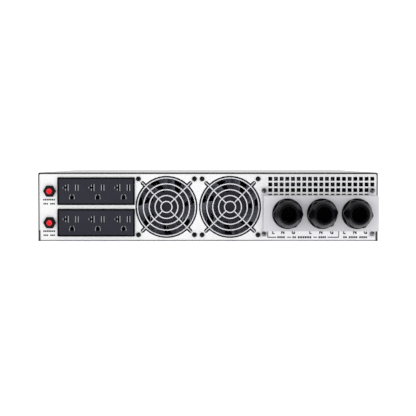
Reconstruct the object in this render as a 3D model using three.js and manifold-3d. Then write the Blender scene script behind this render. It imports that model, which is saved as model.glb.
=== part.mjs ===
// Two-unit rackmount uninterruptible power supply: steel case with a light rear panel, outlets, reset
// buttons, twin fans and a gland box at the rear, and a slide-out battery drawer at the front.
//
// Millimetres, +Z up. The origin is the middle of the flat underside. The rear panel faces -Y, the front
// bezels face +Y, and +X is on the right of someone looking at the rear panel.

import * as THREE from "three";
import { mergeVertices } from "three/addons/utils/BufferGeometryUtils.js";
import Module from "manifold-3d";

const wasm = await Module();
wasm.setup();

// ---------------------------------------------------------------- driving dimensions

// Clearances
const gap = 0.3; // between sheet-metal pieces that slide into each other
const seat = 0.12; // between faces that are screwed together
const bore = 0.25; // all round a pin, shank or bushing in its hole

// Case
const caseWidth = 434;
const caseHeight = 88;
const caseDepth = 480;
const sheet = 1.2; // steel sheet
const hemHeight = 14; // the cover's lower edges are folded double to this height
const panelRecess = 0.8; // rear panel, behind the cover's rear edge
const panelCorner = 2;
const panelTopGap = 0.8; // between the rear panel's top edge and the cover
const flange = 12;
const wallTopRoom = 2.3; // between the tray's side walls and the cover

// Rack ears: they make the front 482.6 wide, the standard width of a rack
const earReach = 24.3;
const earSheet = 2;
const earLeg = 46;
const earSetback = 2.5; // ear's front face, behind the case's front edge
const earHolePitch = 44.45;
const earDrop = 5; // ear's ends, in from the case's top and underside
const earHoleInset = 8.75; // hole centre, in from the ear's outer edge
const earHoleHeight = 6.8;
const earHoleWidth = 10;

// Fans and finger guards
const fanSize = 80;
const fanDepth = 25;
const fanHoleInset = 4.25; // screw hole, in from the fan's edges
const fanGap = 1.3; // between the two fans
const fanWall = 1.5; // housing, at its thinnest
const fanTipGap = 1.2;
const fanHub = 19;
const fanBlades = 7;
const bladePitchDeg = 36;
const strutAnglesDeg = [36, 84, 142, 237, 285];
const strutWidth = 5;
const motorPlate = 3.2;
const windowEdge = 0.2; // round window in the rear panel, inside the fan's edge
const notchWidth = 5.2; // four notches in the window, for the guard's legs
const notchStop = 4.5; // notch's end, short of the screw's centre
const guardWire = 1.6;
const guardFirstRing = 7.1;
const guardEdge = 2.7; // last ring, inside the window
const guardRings = 5;

// Screws, as head radius, head height, shank radius and shank length
const fanScrew = { head: 3.35, height: 2.2, shank: 1.7, length: 15 };
const boxScrew = { head: 3.3, height: 2.1, shank: 1.5, length: 7 };
const crossArm = 3.4;
const crossWidth = 0.8;
const crossDepth = 1.1;

// Reset buttons of the circuit breakers
const breakerSpace = 9.8; // from the outlet blocks' edge to the breakers' axes
const breakerAcross = 14.3; // nut, across flats
const breakerNut = 3.6;
const nutChamfer = 0.6;
const bushingRadius = 5.2;
const bushingLength = 5;
const resetRadius = 3.6;
const resetProud = 3; // button face, beyond the bushing
const breakerBody = { width: 13, height: 33, depth: 32 };

// Outlet blocks: three 20 A outlets each
const outletFanGap = 0.4;
const outletHeight = 35.5;
const outletRise = 20.15; // block's centre, above and below the panel's middle
const outletLip = 1.9; // rim of the block that laps over the panel
const outletProud = 2;
const outletDepth = 32;
const outletCount = 3;
const outletPitch = 33;
const outletShift = 2.2; // blades' middle, to the right of each outlet's middle
const slotRise = 4.5; // slots' middle, above the block's middle
const bladeSpacing = 12.7;
const groundDrop = 12.2;
const slotWidth = 2.4;
const hotHeight = 7.6;
const neutralHeight = 8.6;
const neutralArm = 3.4;
const groundWidth = 5.4;
const slotDepth = 16;

// Vent grid
const ventColumns = 19;
const ventRows = 4;
const ventPitchX = 7.24;
const ventPitchZ = 7.2;
const ventHole = 5.1;
const ventInset = 10.2; // first column's middle, in from the wiring box's side
const ventDrop = 6.1; // first row's middle, below the rear panel's top edge

// Wiring box over the terminals
const boxWidth = 142.8;
const boxHeight = 43.9;
const boxDepth = 50;
const boxFloor = 15.4; // underside, above the case's underside
const tabWidth = 8.2;
const tabReach = 10;
const tabHoleReach = 5.7; // screw's centre, above or below the box
const tabOverhang = 1.8; // tab, beyond the box's side

// Cable glands
const glandCount = 3;
const glandShift = 0.8; // of the middle gland, to the right of the box's middle
const glandSpace = 5; // between neighbours' corners
const glandAcross = 33; // across flats
const glandHex = 7;
const glandFlange = 3.5;
const glandThread = 14;
const glandTail = 9; // thread inside the box
const glandNose = 13.2; // thread under the cap
const glandNoseLength = 10;
const glandBore = 10.6;
const capHex = 13;
const capLength = 27.4;
const capMouth = 9.8;
const capLip = 12.2;
const sealInner = 9.6;
const sealLength = 5;

// Terminal strip
const terminalWays = 9;
const terminalPitch = 13;
const terminalHeight = 22;
const terminalProud = 18;
const terminalDepth = 14;
const barrier = 1.5;
const terminalLap = 3; // strip's body, over its window in the panel
const terminalBase = 12; // strip's body in front of the panel

// Battery drawer
const batteryLength = 151;
const batteryWidth = 65;
const batteryHeight = 94;
const batteriesInString = 3;
const batteryGroove = 1.2;
const grooveDepth = 3;
const stringSpace = 1; // between the two strings of batteries
const trayWall = 28;
const trayGap = 0.8;

// Front bezels
const bezelDepth = 22;
const bezelWall = 2.4;
const bezelSplitGap = 0.5;
const louvreHeight = 3.6;
const louvrePitch = 7.4;
const louvreRows = 7;
const louvreColumns = 4;
const louvreRib = 5;
const louvreDrop = 14; // first row's middle, below the case's top
const louvreEnd = 14; // slots' ends, in from the bezel's ends
const gripWidth = 70;
const gripHeight = 15;
const gripDepth = 14;
const lcdWidth = 62;
const lcdHeight = 30;
const lcdThick = 2;
const keyRadius = 5;
const keySpacing = 20;
const keyProud = 1.2;
const keyTravelRoom = 2;
const displayBoardBack = 12; // display board, behind the bezel's wall
const displayRise = 11; // display's face, above its board
const switchSize = 6;
const switchRise = 3.5;

// Inside
const boardThick = 1.6;
const boardRise = 10;
const relay = { count: 4, width: 28, depth: 24, height: 22, pitch: 34 };
const transformer = { width: 86, stack: 45, height: 71.5, leg: 28.7, window: 43 };
const coreOpening = transformer.width / 2 - transformer.leg;
const coilWall = 12.8;
const heatsink = { width: 148, room: 58, height: 62, base: 6, fins: 15, fin: 2 };
const capacitor = { radius: 17.5, height: 50 };

// ---------------------------------------------------------------- derived places

const rearY = -caseDepth / 2;
const frontY = caseDepth / 2;
const middleZ = caseHeight / 2;
const panelHalf = caseWidth / 2 - sheet - gap; // rear panel and front frame, inside the cover
const baseHalf = caseWidth / 2 - 2 * sheet - gap; // tray, inside the folded hems
const panelBottom = sheet + gap;
const panelTop = caseHeight - sheet - panelTopGap;
const wallTop = caseHeight - sheet - wallTopRoom;
const panelY = rearY + panelRecess; // rear panel's outer face
const panelInnerY = panelY + sheet;

// Along the rear panel: the wiring box is at the right-hand edge and the rest follows to its left.
const boxX = baseHalf - gap - tabOverhang - boxWidth / 2;
const boxX0 = boxX - boxWidth / 2;
const outletWidth = outletCount * outletPitch;
const fanPitch = fanSize + fanGap;
const fanBore = fanSize / 2 - fanWall;
const fanHole = fanSize / 2 - fanHoleInset;
const windowRadius = fanSize / 2 - windowEdge;
const notchReach = fanHole * Math.SQRT2 - notchStop;
const guardRingStep = (windowRadius - guardEdge - guardFirstRing) / (guardRings - 1);
const fanX2 = boxX0 - tabOverhang - gap - fanScrew.head - fanHole;
const fanX = [fanX2 - fanPitch, fanX2];
const outletX = fanX[0] - fanSize / 2 - outletFanGap - outletWidth / 2;
const breakerX = outletX - outletWidth / 2 - breakerSpace;

const guardLegY = sheet + guardWire / 2 + seat; // leg wires lie behind the panel
const guardRingY = guardLegY - 0.8 * guardWire; // rings are welded to the legs' outer side
const fanY = guardLegY + guardWire / 2 + seat;

const rowZ = [middleZ + outletRise, middleZ - outletRise];

const boxZ = boxFloor + boxHeight / 2;
const tabX = boxWidth / 2 - tabWidth / 2 + tabOverhang;
const tabZ = boxHeight / 2 + tabHoleReach;
const boxFaceY = panelY - boxDepth;
const glandCorner = glandAcross / Math.sqrt(3);
const glandX = [];
for (let i = 0; i < glandCount; i++) {
  glandX.push(boxX + glandShift + (i - (glandCount - 1) / 2) * (2 * glandCorner + glandSpace));
}

const ventX = boxX0 + ventInset;
const ventZ = panelTop - ventDrop;

const innerHalf = baseHalf - sheet;
const trayWidth = 2 * batteryLength + stringSpace + 2 * sheet + 2 * gap;
const trayDepth = batteriesInString * batteryHeight + 2 * sheet + 2 * gap;
const trayX0 = -innerHalf + trayGap;
const trayX1 = trayX0 + trayWidth;
const trayY0 = frontY - trayDepth;
const trayZ = sheet + trayGap;
const bayWallX = trayX1 + trayGap;
const splitX = bayWallX + sheet / 2;
const controlX = (splitX + caseWidth / 2) / 2;

// ---------------------------------------------------------------- solids

// A closed three.js geometry as a solid, facing outwards whichever way its profile runs.
function solidOf(geometry) {
  const bare = geometry.index ? geometry.toNonIndexed() : geometry.clone();
  bare.deleteAttribute("normal");
  bare.deleteAttribute("uv");
  const merged = mergeVertices(bare, 1e-4);
  const corner = merged.getAttribute("position").array;
  const index = merged.index.array;
  const a = new THREE.Vector3();
  const b = new THREE.Vector3();
  const c = new THREE.Vector3();
  const kept = [];
  let volume = 0;
  for (let i = 0; i < index.length; i += 3) {
    const [p, q, r] = index.slice(i, i + 3);
    if (p === q || q === r || p === r) continue;
    kept.push(p, q, r);
    a.fromArray(corner, 3 * p);
    b.fromArray(corner, 3 * q);
    c.fromArray(corner, 3 * r);
    volume += a.dot(b.cross(c));
  }
  if (volume < 0) kept.reverse();
  return new wasm.Manifold(
    new wasm.Mesh({ numProp: 3, vertProperties: corner, triVerts: new Uint32Array(kept) }),
  );
}

function geometryOf(solid) {
  const mesh = solid.getMesh();
  const shared = new THREE.BufferGeometry();
  shared.setAttribute("position", new THREE.BufferAttribute(mesh.vertProperties, 3));
  shared.setIndex(new THREE.BufferAttribute(mesh.triVerts, 1));
  const flat = shared.toNonIndexed();
  flat.computeVertexNormals();
  return flat;
}

// A box between two corners.
function block(x0, x1, y0, y1, z0, z1) {
  const box = new THREE.BoxGeometry(x1 - x0, y1 - y0, z1 - z0);
  return solidOf(box.translate((x0 + x1) / 2, (y0 + y1) / 2, (z0 + z1) / 2));
}

// A box centred on X and Z, as pieces on the panels are.
function slab(width, height, y0, y1, x = 0, z = 0) {
  return block(x - width / 2, x + width / 2, y0, y1, z - height / 2, z + height / 2);
}

// A round bar along Y.
function bar(radius, y0, y1, x = 0, z = 0, sides = 16) {
  const cylinder = new THREE.CylinderGeometry(radius, radius, y1 - y0, sides);
  return solidOf(cylinder.translate(x, (y0 + y1) / 2, z));
}

// A hexagonal bar along Y, with corners to the left and right.
function hex(across, y0, y1) {
  const radius = across / Math.sqrt(3);
  const prism = new THREE.CylinderGeometry(radius, radius, y1 - y0, 6, 1, false, Math.PI / 6);
  return solidOf(prism.translate(0, (y0 + y1) / 2, 0));
}

// A turned piece about Y: its profile is [radius, y] pairs.
function turned(profile, sides = 18) {
  return solidOf(new THREE.LatheGeometry(profile.map(([r, y]) => new THREE.Vector2(r, y)), sides));
}

// A plate with its outline in X and Z.
function plate(shape, y0, y1, curveSegments = 5) {
  const flat = new THREE.ExtrudeGeometry(shape, { depth: y1 - y0, bevelEnabled: false, curveSegments });
  return solidOf(flat.rotateX(Math.PI / 2).translate(0, y1, 0));
}

function union(...solids) {
  return solids.reduce((whole, next) => whole.add(next));
}

function cut(solid, ...tools) {
  return tools.reduce((left, tool) => left.subtract(tool), solid);
}

// ---------------------------------------------------------------- outlines in X and Z

function roundedRectangle(width, height, radius, x = 0, z = 0, Kind = THREE.Shape) {
  const path = new Kind();
  const dx = width / 2 - radius;
  const dz = height / 2 - radius;
  path.absarc(x + dx, z + dz, radius, 0, Math.PI / 2);
  path.absarc(x - dx, z + dz, radius, Math.PI / 2, Math.PI);
  path.absarc(x - dx, z - dz, radius, Math.PI, 1.5 * Math.PI);
  path.absarc(x + dx, z - dz, radius, 1.5 * Math.PI, 2 * Math.PI);
  path.closePath();
  return path;
}

// The point at an angle in degrees round a centre.
function around(radius, degrees, x = 0, z = 0) {
  const turn = THREE.MathUtils.degToRad(degrees);
  return new THREE.Vector2(x + radius * Math.cos(turn), z + radius * Math.sin(turn));
}

// A round hole as a polygon, so that a small hole costs few triangles.
function roundHole(radius, x, z, sides) {
  const points = [];
  for (let i = 0; i < sides; i++) points.push(around(radius, (360 * i) / sides, x, z));
  return new THREE.Path(points);
}

// A round window with a round-ended notch towards each fan screw.
function notchedWindow(x, z) {
  const half = notchWidth / 2;
  const mouth = THREE.MathUtils.radToDeg(Math.asin(half / windowRadius));
  const endSteps = 4;
  const arcSteps = 9;
  const points = [];
  for (let axis = 45; axis < 360; axis += 90) {
    const end = around(notchReach - half, axis, x, z);
    for (let i = 0; i <= endSteps; i++) {
      points.push(around(half, axis - 90 + (180 * i) / endSteps, end.x, end.y));
    }
    for (let i = 0; i <= arcSteps; i++) {
      points.push(around(windowRadius, axis + mouth + ((90 - 2 * mouth) * i) / arcSteps, x, z));
    }
  }
  return new THREE.Shape(points);
}

// Rear panel and front frame: stepped in at the bottom, where the cover's hems are.
function panelOutline() {
  const shape = new THREE.Shape();
  const step = hemHeight + gap;
  shape.moveTo(-baseHalf, panelBottom);
  shape.lineTo(baseHalf, panelBottom);
  shape.lineTo(baseHalf, step);
  shape.lineTo(panelHalf, step);
  shape.absarc(panelHalf - panelCorner, panelTop - panelCorner, panelCorner, 0, Math.PI / 2);
  shape.absarc(-panelHalf + panelCorner, panelTop - panelCorner, panelCorner, Math.PI / 2, Math.PI);
  shape.lineTo(-panelHalf, step);
  shape.lineTo(-baseHalf, step);
  shape.closePath();
  return shape;
}

// The four screw places of a fan, about its centre.
const corners = [
  [-1, 1],
  [1, 1],
  [-1, -1],
  [1, -1],
];
const fanCorners = corners.map(([sx, sz]) => [sx * fanHole, sz * fanHole]);
const boxCorners = corners.map(([sx, sz]) => [sx * tabX, sz * tabZ]);

// ---------------------------------------------------------------- finishes

function finish(color, roughness, metalness = 0) {
  return new THREE.MeshStandardMaterial({ color, roughness, metalness });
}

const finishes = {
  coverPaint: finish("#1d1d20", 0.45),
  panelPaint: finish("#e6e6e8", 0.4),
  zincSteel: finish("#b4b7bb", 0.4, 0.9),
  blackPlastic: finish("#222226", 0.5),
  outletPlastic: finish("#36363a", 0.4),
  fanPlastic: finish("#26262b", 0.45),
  brightWire: finish("#e6e7ea", 0.25, 0.9),
  blackScrew: finish("#141416", 0.4, 0.5),
  nickelScrew: finish("#c9cbd0", 0.3, 0.9),
  resetRed: finish("#f0222e", 0.35),
  glandPlastic: finish("#1a1a1f", 0.45),
  sealRubber: finish("#0e0e10", 0.8),
  aluminium: finish("#b9bcc2", 0.4, 0.9),
  boardGreen: finish("#1d5a38", 0.5),
  coreSteel: finish("#4b4d52", 0.55, 0.6),
  copperCoil: finish("#b5692f", 0.4, 0.6),
  capacitorSleeve: finish("#20304f", 0.4),
  batteryCase: finish("#3a3d42", 0.5),
  smokedLens: finish("#10161c", 0.1),
};

const unit = new THREE.Group();

function piece(name, solid, material, x = 0, y = 0, z = 0, parent = unit) {
  const mesh = new THREE.Mesh(geometryOf(solid), material);
  mesh.name = name;
  mesh.position.set(x, y, z);
  parent.add(mesh);
  return mesh;
}

// ---------------------------------------------------------------- case

function baseTray() {
  const wallY0 = panelInnerY + gap;
  const wallY1 = frontY - sheet - gap;
  return union(
    block(-baseHalf, baseHalf, rearY, frontY, 0, sheet),
    block(-baseHalf, sheet - baseHalf, wallY0, wallY1, 0, wallTop),
    block(baseHalf - sheet, baseHalf, wallY0, wallY1, 0, wallTop),
  );
}

function topCover() {
  const half = caseWidth / 2;
  const clear = 0.2; // the sides stop just above the underside
  const outline = new THREE.Shape();
  outline.moveTo(-half, clear);
  outline.lineTo(-half + 2 * sheet, clear);
  outline.lineTo(-half + 2 * sheet, hemHeight);
  outline.lineTo(-half + sheet, hemHeight);
  outline.lineTo(-half + sheet, caseHeight - sheet);
  outline.lineTo(half - sheet, caseHeight - sheet);
  outline.lineTo(half - sheet, hemHeight);
  outline.lineTo(half - 2 * sheet, hemHeight);
  outline.lineTo(half - 2 * sheet, clear);
  outline.lineTo(half, clear);
  outline.absarc(half - panelCorner, caseHeight - panelCorner, panelCorner, 0, Math.PI / 2);
  outline.absarc(-half + panelCorner, caseHeight - panelCorner, panelCorner, Math.PI / 2, Math.PI);
  outline.closePath();
  return plate(outline, rearY, frontY, 3);
}

function rearPanel() {
  const y0 = panelY - 1;
  const y1 = panelInnerY + 1;
  const holes = [];
  for (const x of fanX) {
    holes.push(plate(notchedWindow(x, middleZ), y0, y1));
    for (const [dx, dz] of fanCorners) {
      holes.push(bar(fanScrew.shank + bore, y0, y1, x + dx, middleZ + dz, 8));
    }
  }
  for (const z of rowZ) {
    const room = 2 * (outletLip - gap);
    holes.push(bar(bushingRadius + bore, y0, y1, breakerX, z, 16));
    holes.push(slab(outletWidth - room, outletHeight - room, y0, y1, outletX, z));
  }
  for (let row = 0; row < ventRows; row++) {
    for (let column = 0; column < ventColumns; column++) {
      const x = ventX + column * ventPitchX;
      const z = ventZ - row * ventPitchZ;
      const onScrew = Math.hypot(x - boxX - tabX, z - boxZ - tabZ) < ventHole;
      if (!onScrew) holes.push(slab(ventHole, ventHole, y0, y1, x, z));
    }
  }
  for (const [dx, dz] of boxCorners) {
    holes.push(bar(boxScrew.shank + bore, y0, y1, boxX + dx, boxZ + dz, 8));
  }
  const window = terminalWindow();
  holes.push(slab(window.width, window.height, y0, y1, boxX, boxZ));
  const inset = 2 * panelCorner;
  return union(
    cut(plate(panelOutline(), panelY, panelInnerY), ...holes),
    block(-panelHalf + inset, panelHalf - inset, panelY, panelY + flange, panelTop - sheet, panelTop),
    block(-baseHalf + inset, baseHalf - inset, panelY, panelY + flange, panelBottom, panelBottom + sheet),
  );
}

// Inner steel frame behind the bezels, open where the drawer and the display pass.
function frontFrame() {
  const y0 = frontY - 2 * sheet;
  const y1 = frontY + sheet;
  const displayOpening = slab(keySpacing * 3, lcdHeight, y0, y1, controlX, middleZ);
  const drawerOpening = block(
    trayX0 - gap,
    trayX1 + gap,
    y0,
    y1,
    -sheet,
    trayZ + batteryWidth + sheet + 2 * gap,
  );
  return cut(plate(panelOutline(), frontY - sheet, frontY), displayOpening, drawerOpening);
}

function bayWall() {
  const z0 = sheet + seat;
  const y1 = frontY - sheet - gap;
  return union(
    block(bayWallX, bayWallX + sheet, trayY0, y1, z0, wallTop),
    block(bayWallX, bayWallX + flange, trayY0, y1, z0, z0 + sheet),
  );
}

function rackEar(side) {
  const inner = caseWidth / 2 + seat;
  const outer = caseWidth / 2 + earReach;
  const y1 = frontY - earSetback;
  const height = caseHeight - 2 * earDrop;
  const face = roundedRectangle(outer - inner, height, 1.5, (inner + outer) / 2, middleZ);
  for (const sign of [-1, 1]) {
    const x = outer - earHoleInset;
    const z = middleZ + (sign * earHolePitch) / 2;
    const round = earHoleHeight / 2 - 0.01;
    face.holes.push(roundedRectangle(earHoleWidth, earHoleHeight, round, x, z, THREE.Path));
  }
  const whole = union(
    plate(face, y1 - earSheet, y1, 3),
    block(inner, inner + earSheet, y1 - earLeg, y1, earDrop, caseHeight - earDrop),
  );
  return side < 0 ? whole.mirror([1, 0, 0]) : whole;
}

piece("base_tray", baseTray(), finishes.zincSteel);
piece("top_cover", topCover(), finishes.coverPaint);
piece("rear_panel", rearPanel(), finishes.panelPaint);
piece("front_frame", frontFrame(), finishes.zincSteel);
piece("bay_wall", bayWall(), finishes.zincSteel);
piece("rack_ear_left", rackEar(-1), finishes.coverPaint);
piece("rack_ear_right", rackEar(1), finishes.coverPaint);

// ---------------------------------------------------------------- screws

// A pan-head screw with a cross recess: its head's underside is at y 0 and its shank runs to +Y.
function panScrew({ head, height, shank, length }) {
  const whole = turned(
    [
      [0, length],
      [shank, length],
      [shank, 0],
      [head, 0],
      [head, -0.45 * height],
      [0.72 * head, -0.88 * height],
      [0, -height],
    ],
    10,
  );
  const depth = -height + crossDepth;
  const outside = -height - 1;
  return cut(
    whole,
    slab(crossArm, crossWidth, outside, depth),
    slab(crossWidth, crossArm, outside, depth),
  );
}

// ---------------------------------------------------------------- fans

function fanGuard() {
  const wire = guardWire / 2;
  const parts = [];
  for (let i = 0; i < guardRings; i++) {
    const radius = guardFirstRing + i * guardRingStep;
    const ring = new THREE.TorusGeometry(radius, wire, 4, 12 + 4 * i);
    parts.push(solidOf(ring.rotateX(Math.PI / 2).translate(0, guardRingY, 0)));
  }
  const eye = fanScrew.shank + bore + wire + 0.3;
  const start = guardFirstRing - guardWire;
  const length = fanHole * Math.SQRT2 - eye - start;
  for (const [x, z] of fanCorners) {
    const leg = new THREE.CylinderGeometry(wire, wire, length, 4);
    leg.translate(0, start + length / 2, 0);
    leg.rotateZ(-Math.PI / 2).rotateY(-Math.atan2(z, x));
    parts.push(solidOf(leg.translate(0, guardLegY, 0)));
    const loop = new THREE.TorusGeometry(eye, wire, 4, 8);
    parts.push(solidOf(loop.rotateX(Math.PI / 2).translate(x, guardLegY, z)));
  }
  return union(...parts);
}

// Fan housing: its struts and motor plate are on the outer side, at y 0.
function fanFrame() {
  const outline = roundedRectangle(fanSize - 2 * gap, fanSize - 2 * gap, 3.5);
  outline.holes.push(roundHole(fanBore, 0, 0, 32));
  for (const [x, z] of fanCorners) outline.holes.push(roundHole(fanScrew.shank + bore, x, z, 8));
  const parts = [plate(outline, 0, fanDepth, 3), bar(fanHub + 0.6, 0, motorPlate, 0, 0, 20)];
  for (const angle of strutAnglesDeg) {
    const strut = new THREE.BoxGeometry(fanBore - fanHub + 2, motorPlate, strutWidth);
    strut.translate((fanBore + fanHub) / 2, motorPlate / 2, 0);
    parts.push(solidOf(strut.rotateY(THREE.MathUtils.degToRad(-angle))));
  }
  return union(...parts);
}

// Fan impeller: a hub with pitched blades, trimmed to the housing's bore.
function fanRotor() {
  const y0 = motorPlate + 0.8;
  const y1 = fanDepth - 1;
  const tip = fanBore - fanTipGap;
  const chord = 21;
  const thickness = 1.5;
  const blades = [];
  for (let i = 0; i < fanBlades; i++) {
    const blade = new THREE.BoxGeometry(tip - fanHub + 4, thickness, chord);
    blade.rotateX(THREE.MathUtils.degToRad(bladePitchDeg));
    blade.translate((tip + fanHub) / 2, (y0 + y1) / 2, 0);
    blades.push(solidOf(blade.rotateY((2 * Math.PI * i) / fanBlades)));
  }
  const trimmed = union(...blades).intersect(bar(tip, y0, y1, 0, 0, 24));
  return union(trimmed, bar(fanHub, y0, y1, 0, 0, 20));
}

fanX.forEach((x, i) => {
  const fan = new THREE.Group();
  fan.position.set(x, panelY, middleZ);
  unit.add(fan);
  const n = i + 1;
  piece(`fan_guard_${n}`, fanGuard(), finishes.brightWire, 0, 0, 0, fan);
  piece(`fan_frame_${n}`, fanFrame(), finishes.fanPlastic, 0, fanY, 0, fan);
  piece(`fan_rotor_${n}`, fanRotor(), finishes.fanPlastic, 0, fanY, 0, fan);
  fanCorners.forEach(([dx, dz], k) => {
    piece(`fan_screw_${n}${"abcd"[k]}`, panScrew(fanScrew), finishes.blackScrew, dx, -seat, dz, fan);
  });
});

// ---------------------------------------------------------------- circuit breakers

function breakerCase() {
  const y0 = sheet + seat;
  return cut(
    union(
      slab(breakerBody.width, breakerBody.height, y0, y0 + breakerBody.depth),
      bar(bushingRadius, -bushingLength, y0 + 1),
    ),
    bar(resetRadius + bore, -bushingLength - 1, y0 + 6),
  );
}

// The nut's corners are turned off towards its outer face.
function hexNut() {
  const corner = breakerAcross / Math.sqrt(3);
  const form = turned([
    [0, -seat],
    [corner, -seat],
    [corner, -breakerNut + nutChamfer],
    [breakerAcross / 2, -breakerNut],
    [0, -breakerNut],
  ]);
  const body = hex(breakerAcross, -breakerNut, -seat).intersect(form);
  return cut(body, bar(bushingRadius + bore, -breakerNut - 1, 1));
}

function resetButton() {
  const face = -bushingLength - resetProud;
  return turned(
    [
      [0, sheet + 3],
      [resetRadius, sheet + 3],
      [resetRadius, face + 0.7],
      [resetRadius - 0.7, face],
      [1.6, face],
      [1.3, face + 0.4],
      [0, face + 0.4],
    ],
    14,
  );
}

rowZ.forEach((z, i) => {
  const n = i + 1;
  piece(`breaker_body_${n}`, breakerCase(), finishes.blackPlastic, breakerX, panelY, z);
  piece(`breaker_nut_${n}`, hexNut(), finishes.blackPlastic, breakerX, panelY, z);
  piece(`reset_button_${n}`, resetButton(), finishes.resetRed, breakerX, panelY, z);
});

// ---------------------------------------------------------------- outlet blocks

// The slots of one outlet: a T-shaped neutral on the left, a plain slot and an arched earth hole.
function outletSlots(x) {
  const y0 = -outletProud - 1;
  const y1 = -outletProud + slotDepth;
  const left = x - bladeSpacing / 2;
  const right = x + bladeSpacing / 2;
  const arch = new THREE.Shape();
  const half = groundWidth / 2;
  const groundZ = slotRise - groundDrop;
  arch.moveTo(x - half, groundZ - half);
  arch.lineTo(x + half, groundZ - half);
  arch.absarc(x, groundZ + 0.4, half, 0, Math.PI);
  arch.closePath();
  return [
    slab(slotWidth, neutralHeight, y0, y1, left, slotRise),
    slab(neutralArm + slotWidth / 2, slotWidth, y0, y1, left - (neutralArm + slotWidth / 2) / 2, slotRise),
    slab(slotWidth, hotHeight, y0, y1, right, slotRise),
    plate(arch, y0, y1, 6),
  ];
}

function outletBlock() {
  const rim = roundedRectangle(outletWidth, outletHeight, 1.4);
  const inner = sheet + outletDepth;
  const solid = union(
    plate(rim, -outletProud - seat, -seat, 2),
    slab(outletWidth - 2 * outletLip, outletHeight - 2 * outletLip, -outletProud, inner),
  );
  const slots = [];
  for (let i = 0; i < outletCount; i++) {
    slots.push(...outletSlots((i - (outletCount - 1) / 2) * outletPitch + outletShift));
  }
  return cut(solid, ...slots);
}

rowZ.forEach((z, i) => {
  piece(`outlet_block_${i + 1}`, outletBlock(), finishes.outletPlastic, outletX, panelY, z);
});

// ---------------------------------------------------------------- terminals and wiring box

function terminalWindow() {
  const width = terminalWays * terminalPitch - 2 * terminalLap;
  return { width, height: terminalHeight - 2 * terminalLap };
}

// Barrier strip: a body on the panel's outer face with a tail through its window.
function terminalStrip() {
  const width = terminalWays * terminalPitch + barrier;
  const window = terminalWindow();
  const parts = [
    slab(width, terminalHeight, -terminalBase, -seat),
    slab(window.width - 2 * gap, window.height - 2 * gap, -1, sheet + terminalDepth),
  ];
  for (let i = 0; i <= terminalWays; i++) {
    const x = (i - terminalWays / 2) * terminalPitch;
    parts.push(slab(barrier, terminalHeight, -terminalProud, -1, x));
  }
  return union(...parts);
}

// The box is open towards the panel; its depth runs from y -boxDepth to just short of the panel at y 0.
function wiringBox() {
  const inner = { width: boxWidth - 2 * sheet, height: boxHeight - 2 * sheet };
  const tools = [slab(inner.width, inner.height, -boxDepth + sheet, 1)];
  for (const x of glandX) {
    tools.push(bar(glandThread + bore, -boxDepth - 1, -boxDepth + sheet + 1, x - boxX, 0, 20));
  }
  const tabs = [];
  for (const [x, z] of boxCorners) {
    const middle = z - Math.sign(z) * (tabHoleReach - tabReach / 2 + 0.5);
    tabs.push(slab(tabWidth, tabReach + 1, -sheet - seat, -seat, x, middle));
    tools.push(bar(boxScrew.shank + bore, -sheet - 1, 1, x, z, 8));
  }
  return cut(union(slab(boxWidth, boxHeight, -boxDepth, -seat), ...tabs), ...tools);
}

piece("terminal_strip", terminalStrip(), finishes.blackPlastic, boxX, panelY, boxZ);
piece("wiring_box", wiringBox(), finishes.panelPaint, boxX, panelY, boxZ);
boxCorners.forEach(([dx, dz], k) => {
  const y = panelY - sheet - 2 * seat;
  piece(`box_screw_${"abcd"[k]}`, panScrew(boxScrew), finishes.nickelScrew, boxX + dx, y, boxZ + dz);
});

// ---------------------------------------------------------------- cable glands, outwards from y 0

function glandBody() {
  const nose = -glandHex - glandNoseLength;
  return cut(
    union(
      hex(glandAcross, -glandHex, -1),
      bar(glandCorner - 0.1, -glandFlange, -seat, 0, 0, 24),
      bar(glandThread, -1, sheet + glandTail, 0, 0, 20),
      bar(glandNose, nose, -1, 0, 0, 20),
    ),
    bar(glandBore, nose - 1, sheet + glandTail + 1, 0, 0, 16),
  );
}

// The cap's hexagon is chamfered towards a domed nose with a round mouth.
function glandCap() {
  const back = -glandHex - gap;
  const front = back - capLength;
  const shoulder = back - capHex;
  const form = turned(
    [
      [0, back],
      [glandCorner, back],
      [glandCorner, shoulder + 1.5],
      [glandAcross / 2, shoulder - 1],
      [glandAcross / 2 - 0.8, shoulder - 5],
      [capLip + 1.6, front + 3],
      [capLip, front],
      [0, front],
    ],
    24,
  );
  const seatRing = -glandHex - glandNoseLength - sealLength - gap;
  return cut(
    form.intersect(hex(glandAcross, front - 1, back + 1)),
    bar(glandNose + bore, seatRing, back + 1, 0, 0, 20),
    bar(capMouth, front - 1, back, 0, 0, 20),
  );
}

function glandSeal() {
  const y1 = -glandHex - glandNoseLength - seat;
  const y0 = y1 - sealLength + seat;
  return cut(bar(glandNose, y0, y1, 0, 0, 20), bar(sealInner, y0 - 1, y1 + 1, 0, 0, 16));
}

glandX.forEach((x, i) => {
  const n = i + 1;
  piece(`gland_body_${n}`, glandBody(), finishes.glandPlastic, x, boxFaceY, boxZ);
  piece(`gland_cap_${n}`, glandCap(), finishes.glandPlastic, x, boxFaceY, boxZ);
  piece(`gland_seal_${n}`, glandSeal(), finishes.sealRubber, x, boxFaceY, boxZ);
});

// ---------------------------------------------------------------- battery drawer

function batteryTray() {
  const z0 = trayZ;
  const x0 = trayX0;
  const x1 = trayX1;
  return union(
    block(x0, x1, trayY0, frontY, z0, z0 + sheet),
    block(x0, x0 + sheet, trayY0, frontY, z0, z0 + trayWall),
    block(x1 - sheet, x1, trayY0, frontY, z0, z0 + trayWall),
    block(x0, x1, trayY0, trayY0 + sheet, z0, z0 + trayWall),
    block(x0, x1, frontY - sheet, frontY, z0, z0 + batteryWidth),
  );
}

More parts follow.
